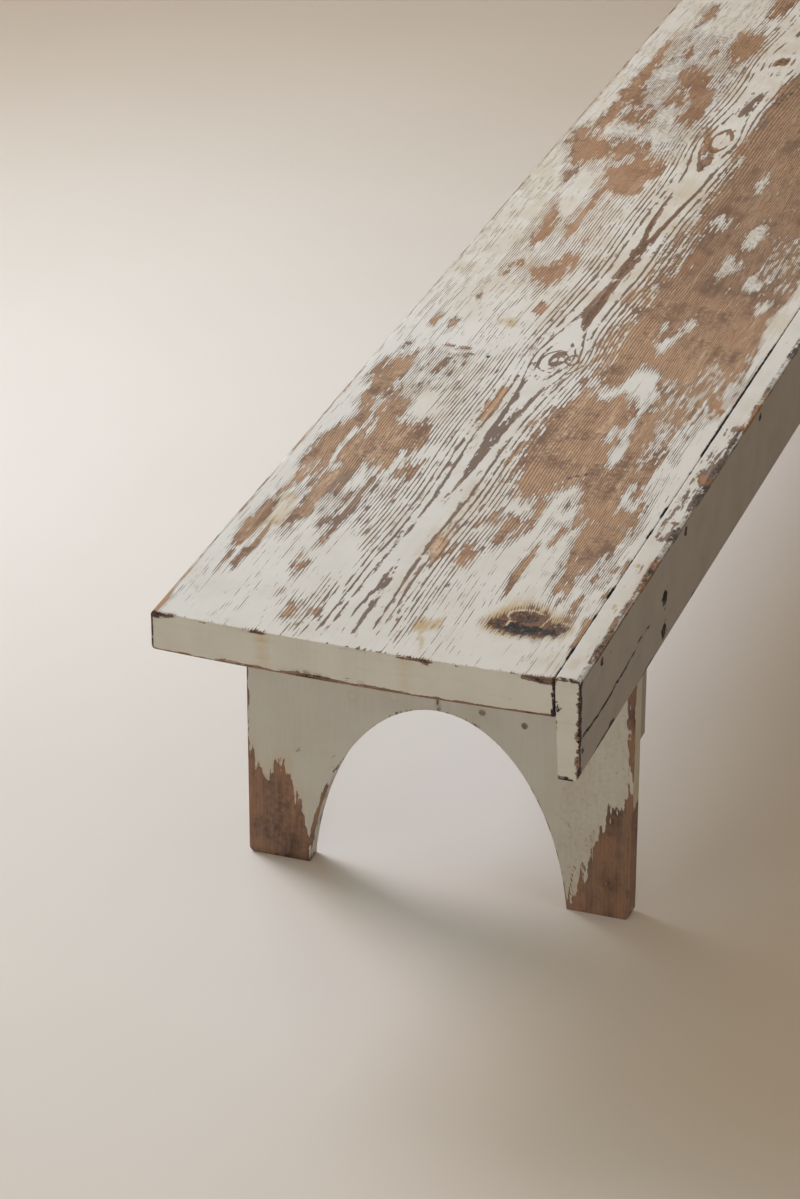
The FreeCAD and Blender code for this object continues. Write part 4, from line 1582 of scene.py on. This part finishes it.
    def pick(self, normal: Vector, centre: Vector) -> int:
        """Chooses the finish by which way the face looks.

        Args:
            normal: The way it looks.
            centre: The middle of the face, which is not used.

        Returns:
            The finish's place in the list.
        """
        if normal.z > FACING:
            return 0
        if abs(normal.x) > FACING:
            return 3
        return 2 if normal.y > 0.5 else 1


@dataclass
class LegBoard(Board):
    """One upright board of a leg, cut on its inner side by the arch: its foot has lost its paint."""

    outer_x: float
    inner_x: float
    side: int
    bare_line: tuple[tuple[float, float], ...]
    shoulder_z: float = APRON_FOOT_Z
    chamfer: float = 0.004
    crown_row_z: float = 0.225
    rust_height: float = 240.0
    rust_t: float = 225.0
    rim: float = 0.0012
    nails: tuple[tuple[float, float], ...] = ()
    blots: tuple[tuple[Stroke, float], ...] = (
        (((8, 358, 5), (22, 368, 7), (32, 388, 4)), 0.24), (((20, 352, 2), (44, 362, 4)), 0.22), (((34, 50,
        4), (66, 56, 3)), 0.2), (((60, 8, 4), (92, 22, 5)), 0.2), (((6, 20, 5), (14, 44, 5)), 0.2), (((10,
        380, 4), (60, 396, 3)), 0.22), (((128, 54, 2.2), (131, 56, 2.2)), 0.45), (((127, 92, 1.8), (129, 93,
        1.8)), 0.4), (((107, 325, 1.2), (109, 325, 1.2)), 0.45), (((99, 340, 1.2), (101, 340, 1.2)), 0.45),
        (((76, 358, 1.6), (88, 364, 1.6)), 0.35), (((90, 362, 1.2), (96, 366, 1.2)), 0.3),
    )
    scratches: Strokes = (
        ((115, 92, 1.2), (80, 80, 2.4), (45, 71, 2.4), (20, 65.5, 2.0)), ((5, 341, 1.6), (30, 343, 1.2), (54,
        347, 1.0)), ((108, 325, 1.0), (108.5, 326, 1.0)),
    )

    def outer_y(self, z: float) -> float:
        """Follows the board's outer edge: the back edge, or the front one with its shoulder.

        Args:
            z: The height.

        Returns:
            The edge's place across.
        """
        inset = max(0.0, self.chamfer - z)
        if self.side > 0:
            return BACK_Y - inset
        if z > self.shoulder_z + 1e-6:
            return apron_inner_y(z)
        return SEAM_Y - 2 * APRON_TAPER + inset

    def shape(self) -> Blank:
        """Lofts a grid from the outer edge to the arch and the joint, and gives it its thickness.

        Returns:
            The board's mesh in the making.
        """
        turn = math.asin(-ARCH_CENTRE_Z / ARCH_RISE)
        parts = 400
        angles = [turn + (math.pi / 2 - turn) * index / parts for index in range(parts + 1)]
        arch = [
            (ARCH_HALF_WIDTH * math.cos(angle), ARCH_CENTRE_Z + ARCH_RISE * math.sin(angle))
            for angle in angles
        ]
        lengths = [0.0]
        for (y0, z0), (y1, z1) in zip(arch, arch[1:]):
            lengths.append(lengths[-1] + math.hypot(y1 - y0, z1 - z0))
        arch_y, arch_z = zip(*arch)
        crown, crown_z = lengths[-1], arch_z[-1]
        arch_shares = stations((0, 0.02, 0.01), (0.02, 1, 0.02))
        rise = stations((1, 2, 0.04))
        notch = 1 + (self.shoulder_z - self.crown_row_z) / (UNDERSIDE_Z - self.crown_row_z)
        rise = sorted(rise + [notch, notch + 0.0006])
        columns = stations((0, 0.03, 0.03), (0.03, 0.97, 0.027), (0.97, 1, 0.03))

        def place(across: float, up: float) -> Vector:
            """Sets a point of the board's outer face.

            Args:
                across: Its share from the outer edge to the arch or the joint.
                up: Its row, up to 1 along the arch and up to 2 at the seat.

            Returns:
                The point.
            """
            if up <= 1:
                share = up * crown
                y_in = float(np.interp(share, lengths, arch_y))
                z_in = float(np.interp(share, lengths, arch_z))
                z_out = self.crown_row_z * up
            else:
                y_in, z_in = 0.0, crown_z + (UNDERSIDE_Z - crown_z) * (up - 1)
                z_out = self.crown_row_z + (UNDERSIDE_Z - self.crown_row_z) * (up - 1)
            y_in = JOINT_Y + self.side * y_in
            y_out = self.outer_y(z_out)
            y = y_out + (y_in - y_out) * across
            z = z_out + (z_in - z_out) * across
            z -= cup_drop(y) * max(0.0, up - 1)
            return Vector((self.outer_x, y, z))

        bm = section_blank(columns, arch_shares + rise[1:], place)
        thicken(bm, self.inner_x - self.outer_x, 4)
        ease_rims(bm, self.rim)
        for t, z in self.nails:
            refine_round(bm, Vector((self.outer_x, BACK_Y - t * MM, z * MM)), 0.009, 2)
        return bm

    def age(self, wear: Wear) -> None:
        """Sets the bare foot, the worn arrises, the drips and the nail dimples.

        Args:
            wear: The board's fields.
        """
        t, z = wear.t, wear.height
        bare = wear.fields["bare"]
        inward = np.abs(wear.co[:, 0] - self.outer_x) / MM
        front = inward < 1.6
        fine, broad = Cloud(wear.seed), Cloud(wear.seed + 1)
        places, heights = zip(*self.bare_line)
        spikes = 9.0 * np.abs(fine.read(t / 2.6, z / 60)) + 5.0 * broad.read(t / 9, z / 45)
        line = np.interp(t, places, heights) + np.where(front, spikes - 4.0, 0)
        bare[:] = np.maximum(bare, np.clip((line - z) / 20.0, -0.9, 1.0))
        wear.fields["stain_and_shade"][:] = np.where(z > line - 4, 0.34 * np.clip(1 - (z - line) / 42.0, 0, 1) ** 2, 0)
        wear.fields["warm"][:] = 0.25 * broad.read(t / 14 + 9, z / 50)
        heart_t = 80 if self.side > 0 else 330
        wear.fields["ring"] = 40 + np.hypot(t - heart_t, 46) / 3.1 + 0.4 * np.sin(z / 60)
        across, up = wear.co[:, 1] - JOINT_Y, wear.co[:, 2] - ARCH_CENTRE_Z
        outline = np.hypot(across / ARCH_HALF_WIDTH, up / ARCH_RISE)
        chips = fine.read(z / 9, inward / 3)
        arris = (outline < 1.012) & (z < CROWN_HEIGHT) & (inward < 2.0)
        worn = np.interp(z, (20, 100, 125, 201), (0.45, 0.4, -0.35, -0.5))
        wear.raise_to("bare", arris, chips * 0.5 + worn)
        reveal = (outline < 1.004) & (z < CROWN_HEIGHT) & (inward > 1.6)
        wear.raise_to("bare", reveal, chips * 0.4 - 0.25)
        edge = t < 1.6 if self.side > 0 else t > 402.0
        worn = np.interp(z, (100, 140, 290, 300), (0.5, 0.42, 0.30, -0.6))
        wear.raise_to("bare", edge & front, chips * 0.4 + worn)
        if self.side < 0:
            stripe = front & (t > 397.2 + 1.6 * broad.read(z / 18, t * 0)) & (z > 120) & (z < 292)
            wear.raise_to("bare", stripe, 0.42 + chips * 0.3)
            flank = (t > 402.0) & ~front
            bare[flank] = np.clip((128 + 16 * broad.read(inward / 5, z / 30) - z) / 16, -0.85, 0.7)[flank]
        wear.raise_to("soot_and_shade", z < 12.0, 0.42 * (1 - smooth(z, 1.0, 12.0)))
        blot_and_shade = wear.face(z, t, front)
        # Painted shade: where the apron's shadow falls on the front board, its face is darkened and yellowed.
        if self.side < 0:
            apron_shadow_patch = [(-20, 320, 150, 330, 240, 345, 300, 372, 300, 410, -20, 410)]
            blot_and_shade.tone("stain_and_shade", apron_shadow_patch, 0.10, 1.5)
            blot_and_shade.tone("soot_and_shade", apron_shadow_patch, 0.17, 1.5)
        for path, amount in self.blots:
            blot_and_shade.stroke("soot_and_shade", path, amount)
        for path in self.scratches:
            blot_and_shade.stroke("bare", path, 0.45)
        for t_nail, z_nail in self.nails:
            away = np.hypot(t - t_nail, z - z_nail)
            bowl = np.where(front, 1 - smooth(away, 3.2, 5.6), 0)
            wear.co[:, 0] += bowl * 0.62 * MM * (1 if self.inner_x > self.outer_x else -1)
            low = z_nail < self.rust_height
            rusty = 0.18 if low and t_nail > self.rust_t else 0.0
            wear.raise_to("soot_and_shade", front, rusty * (1 - smooth(away, 3.0, 6.0)))
            wear.raise_to("stain_and_shade", front & low, 0.2 * (1 - smooth(away, 3.0, 7.0)))
        joint = (np.abs(t - JOINT_T) < 0.8) & (z > 200)
        wear.raise_to("soot_and_shade", joint, np.interp(z, (200, 214, 224), (0.52, 0.42, 0.12)))

    def finishes(self) -> list[Finish]:
        """The dull paint of the legs."""
        return [PAINTS["leg"]]


@dataclass
class CleatBoard(Board):
    """The bare pine board behind a leg, notched below by the arch."""

    outer_x: float
    inner_x: float
    foot_z: float = 0.186
    rim: float = 0.0012

    def low_z(self, y: float) -> float:
        """Follows the cleat's lower edge, which keeps clear of the arch in the middle.

        Args:
            y: The place across.

        Returns:
            The edge's height.
        """
        share = (y - JOINT_Y) / ARCH_HALF_WIDTH
        if abs(share) >= 1:
            return self.foot_z
        return max(self.foot_z, ARCH_CENTRE_Z + ARCH_RISE * math.sqrt(1 - share * share))

    def shape(self) -> Blank:
        """Lofts a grid from the lower edge to the seat and gives it its thickness.

        Returns:
            The cleat's mesh in the making.
        """
        front_y = SEAM_Y - APRON_TAPER
        columns = stations((0, 1, 0.0125))
        rows = stations((0, 1, 0.07))

        def place(across: float, up: float) -> Vector:
            """Sets a point of the cleat's outer face.

            Args:
                across: Its share of the way to the front.
                up: Its share of the way up.

            Returns:
                The point.
            """
            y = BACK_Y + (front_y - BACK_Y) * across
            low = self.low_z(y)
            z = low + (UNDERSIDE_Z - cup_drop(y) - low) * up
            y += (max(front_y, apron_inner_y(z)) - front_y) * across
            return Vector((self.outer_x, y, z))

        bm = section_blank(columns, rows, place)
        thicken(bm, self.inner_x - self.outer_x, 5)
        ease_rims(bm, self.rim)
        return bm

    def age(self, wear: Wear) -> None:
        """Leaves the cleat bare between its painted ends, with a little dirt below.

        Args:
            wear: The board's fields.
        """
        wear.fields["ring"] = 30 + np.hypot(wear.height - 240, 60) / 4.0 + 0.3 * np.sin(wear.t / 70)
        from_end = np.minimum(wear.t, wear.t.max() - wear.t)
        wear.fields["bare"][:] = 1.8 * smooth(from_end, 4.0, 14.0) - 0.9
        low = wear.height < self.foot_z + 2
        wear.fields["soot_and_shade"][low] = 0.25

    def finishes(self) -> list[Finish]:
        """Bare pine whose grain runs across the bench."""
        # The cleat's painted ends take the face paint, whose darker colour is painted shade.
        return [PAINTS["cleat"]]


@dataclass
class NailSet:
    """Nails that stay as their solids and only take a finish."""

    finish: Union[NailIron, PaintedIron]
    nodes: tuple[str, ...]

    def make(self) -> None:
        """Gives every nail solid its finish."""
        dress = self.finish.build()
        for name in self.nodes:
            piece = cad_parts[name]
            piece.data.materials.clear()
            piece.data.materials.append(dress)
            LOG.info("%s: dressed", name)


@dataclass(frozen=True)
class Lamp:
    """One soft rectangular lamp."""

    name: str
    place: tuple[float, float, float]
    aim: tuple[float, float, float]
    size: tuple[float, float]
    watts: tuple[float, float, float]

    def hang(self) -> None:
        """Hangs the lamp, whose watts are given for red, green and blue."""
        data = bpy.data.lights.new(self.name, "AREA")
        data.shape = "RECTANGLE"
        data.size, data.size_y = self.size
        data.energy = max(self.watts)
        data.color = tuple(share / data.energy for share in self.watts)
        lamp = bpy.data.objects.new(self.name, data)
        lamp.location = self.place
        lamp.rotation_euler = (Vector(self.aim) - Vector(self.place)).to_track_quat("-Z", "Y").to_euler()
        bpy.context.scene.collection.objects.link(lamp)


@dataclass
class Studio:
    """The plain pale floor, the soft light and the camera."""

    place: tuple[float, float, float] = (-4.222565, -1.151374, 2.221347)
    turn: tuple[float, float, float] = (62.281325, -0.068805, -70.632803)
    lens: float = 125.6525
    sensor: float = 36.0
    floor_tint: Tint = tint(228, 223, 219)
    floor_mark: Tint = tint(221, 215, 210)
    floor_reach: float = 9.0
    floor_fade: tuple[float, float] = (1.9, 3.3)
    fade_centre: tuple[float, float] = (0.35, 0.35)
    ambient: Tint = (0.2735, 0.174, 0.0555, 1.0)
    backdrop: Tint = (0.70, 0.665, 0.63, 1.0)
    lamps: tuple[Lamp, ...] = (
        Lamp("window_low", (0.065, 1.695, 2.03), (-0.96, -2.5, 0.0), (0.8, 0.8), (24.2, 20.6, 22.0)),
        Lamp("window_wide", (0.05, 1.50, 1.76), (-1.09, -1.0, 0.0), (2.1, 1.0), (12.8, 20.7, 24.7)),
        Lamp("window_far", (0.6, 3.2, 2.6), (-0.9, 0.2, 0.0), (1.6, 1.2), (34.1, 32.9, 30.8)),
        Lamp("bounce_back", (-3.6, 1.6, 1.2), (-0.9, 0.0, 0.25), (1.6, 1.2), (7.2, 9.8, 9.0)),
        Lamp("bounce_front", (-1.6, -2.6, 2.4), (-1.2, -0.4, 0.0), (1.6, 1.2), (8.3, 10.7, 12.6)),
        Lamp("bounce_low", (-4.6, -0.6, 1.0), (-1.0, 0.0, 0.3), (1.2, 1.2), (26.8, 26.8, 31.0)),
    )

    def build(self) -> None:
        """Sets the floor, the lamps, the sky and the camera."""
        self.floor()
        for lamp in self.lamps:
            lamp.hang()
        self.sky()
        camera = bpy.data.cameras.new("camera")
        camera.lens = self.lens
        camera.sensor_width = self.sensor
        view = bpy.data.objects.new("camera", camera)
        view.location = self.place
        view.rotation_euler = tuple(math.radians(angle) for angle in self.turn)
        bpy.context.scene.collection.objects.link(view)
        bpy.context.scene.camera = view
        bpy.context.scene.view_settings.view_transform = "Standard"

    def floor(self) -> None:
        """Lays a wide plain floor."""
        bm = bmesh.new()
        bmesh.ops.create_grid(bm, x_segments=8, y_segments=8, size=self.floor_reach)
        mesh = bpy.data.meshes.new("floor")
        bm.to_mesh(mesh)
        bm.free()
        sheet = ShaderSheet(bpy.data.materials.new("plain_floor"))
        plain = sheet.place()
        mottle = sheet.cloud(plain, 3.0, 2.0)
        colour = sheet.blend((mottle * 0.8 + 0.1).clamp(), self.floor_tint, self.floor_mark)
        near = sheet.shader(colour, 0.75, mottle * 0.2, gloss=0.2)
        pale = sheet.node("ShaderNodeEmission", {}, {"Color": self.backdrop})
        x, y = sheet.axis(0) - self.fade_centre[0], sheet.axis(1) - self.fade_centre[1]
        far = sheet.math("SQRT", x * x + y * y).step(*self.floor_fade) * sheet.seen()
        both = sheet.node("ShaderNodeMixShader", {}, {0: far, 1: near, 2: Signal(sheet, pale.outputs[0])})
        mesh.materials.append(sheet.put_out(Signal(sheet, both.outputs[0])))
        floor = bpy.data.objects.new("floor", mesh)
        bpy.context.scene.collection.objects.link(floor)

    def sky(self) -> None:
        """Lights everything softly, and shows a plain backdrop to the camera."""
        sheet = ShaderSheet(bpy.data.worlds.new("soft_room"))
        colour = sheet.blend(sheet.seen(), self.ambient, self.backdrop)
        light = sheet.node("ShaderNodeBackground", {}, {"Color": colour})
        sheet.node("ShaderNodeOutputWorld", {}, {"Surface": Signal(sheet, light.outputs[0])})
        bpy.context.scene.world = sheet.owner


PAINTS: dict[str, Finish] = {}


def mix_paints() -> None:
    """Makes every finish of the boards once."""
    white, white_low = tint(217, 214, 210), tint(190, 184, 174)
    dull, dull_low = tint(200, 196, 184), tint(172, 164, 148)
    # The face paint is darker and greyer than the leg paint. This is mostly painted shade for the apron's
    # outer face in shadow, with some dirt. It also colours the painted ends of the cleats and any paint on
    # the raw pine.
    face, face_shade_low = tint(152, 147, 143), tint(132, 125, 119)
    leg, leg_low = tint(186, 182, 170), tint(160, 153, 138)
    pine, pine_line = tint(185, 150, 118), tint(104, 76, 56)
    dark_pine, dark_line = tint(130, 98, 76), tint(98, 74, 58)
    raw = tint(160, 126, 94)
    edge = {"ridge_lift": 0.04, "ridge_floor": 0.05, "ridge_spread": 0.1, "line_strength": 0.35}
    PAINTS["top"] = WornPaint("white_paint", white, white_low, pine, pine_line, Way.ALONG).build()
    PAINTS["end"] = WornPaint("edge_paint", dull, dull_low, dark_pine, dark_line, Way.ACROSS, **edge).build()
    PAINTS["face"] = WornPaint("apron_shaded_paint", face, face_shade_low, dark_pine, dark_line, Way.ALONG, **edge).build()
    foot = {**edge, "dirt": tint(78, 55, 42), "bleached": tint(134, 102, 78)}
    PAINTS["leg"] = WornPaint("leg_paint", leg, leg_low, dark_pine, dark_line, Way.UPRIGHT, **foot).build()
    PAINTS["raw"] = WornPaint("raw_pine", face, face_shade_low, raw, pine_line, Way.ALONG, **edge).build()
    PAINTS["cleat"] = WornPaint("cleat_pine", face, face_shade_low, raw, pine_line, Way.ACROSS, **edge).build()


BACK_FOOT = (
    (0, 128), (4, 118), (10, 106), (20, 94), (27, 100), (33, 112), (38, 106), (42, 100), (50, 86), (58, 68),
    (62, 50), (64, 28), (67, -14),
)
FRONT_FOOT = (
    (336, -14), (340, 2), (345, 12), (349, 22), (349.5, 38), (352, 50), (360, 58), (366, 72), (370, 86), (373,
    101), (378, 114), (385, 124), (390, 129), (402, 136), (405, 138),
)
FAR_BACK_FOOT = ((0, 96), (14, 104), (26, 88), (40, 92), (52, 70), (60, 44), (66, 12), (70, -14))
FAR_FRONT_FOOT = ((338, -14), (346, 22), (354, 58), (362, 66), (374, 92), (386, 104), (398, 118), (405, 124))


def face_nails(low: float, high: float) -> tuple[tuple[float, float], ...]:
    """Picks a leg board's face nails.

    Args:
        low: The board's first edge across the bench.
        high: Its other edge.

    Returns:
        Each nail's place across and its height.
    """
    rows = ((46.0, 208.0), (90.0, 201.0), (55.0, 327.0), (150.0, 327.0))
    places = [(JOINT_T + side * offset, z) for offset, z in rows for side in (-1, 1)]
    return tuple(place for place in places if low < place[0] < high)


def main() -> None:
    """Builds the studio and every part of the bench in order."""
    logging.basicConfig(level=logging.INFO, format="%(message)s")
    Studio().build()
    mix_paints()
    SeatBoard("seat_board", ("seat_plank",), "seat_paint", 11).make()
    ApronBoard("apron_board", ("front_apron",), "side_paint", 12).make()
    ends = (("near", -1, BACK_FOOT, FRONT_FOOT), ("far", 1, FAR_BACK_FOOT, FAR_FRONT_FOOT))
    for end, sign, back, front in ends:
        outer, inner, cleat = sign * LEG_OUTER_X, sign * LEG_INNER_X, sign * CLEAT_INNER_X
        LegBoard(
            f"{end}_back_leg", (f"{end}_leg_back_board",), "side_paint", 20 + sign,
            outer, inner, 1, back, nails=face_nails(0, 202),
        ).make()
        LegBoard(
            f"{end}_front_leg", (f"{end}_leg_front_board",), "side_paint", 24 + sign,
            outer, inner, -1, front, nails=face_nails(202, 410),
        ).make()
        CleatBoard(f"{end}_cleat", (f"{end}_leg_cleat",), "bare_pine", 30 + sign, inner, cleat).make()
    NailSet(NailIron("nail_iron"), (
        "apron_seat_nails", "near_apron_cleat_nails", "far_apron_cleat_nails", "near_cleat_seat_nails",
        "far_cleat_seat_nails",
    )).make()
    painted = PaintedIron("painted_nails", tint(184, 179, 166))
    NailSet(painted, ("near_leg_face_nails", "far_leg_face_nails")).make()


if __name__ == "__main__":
    main()
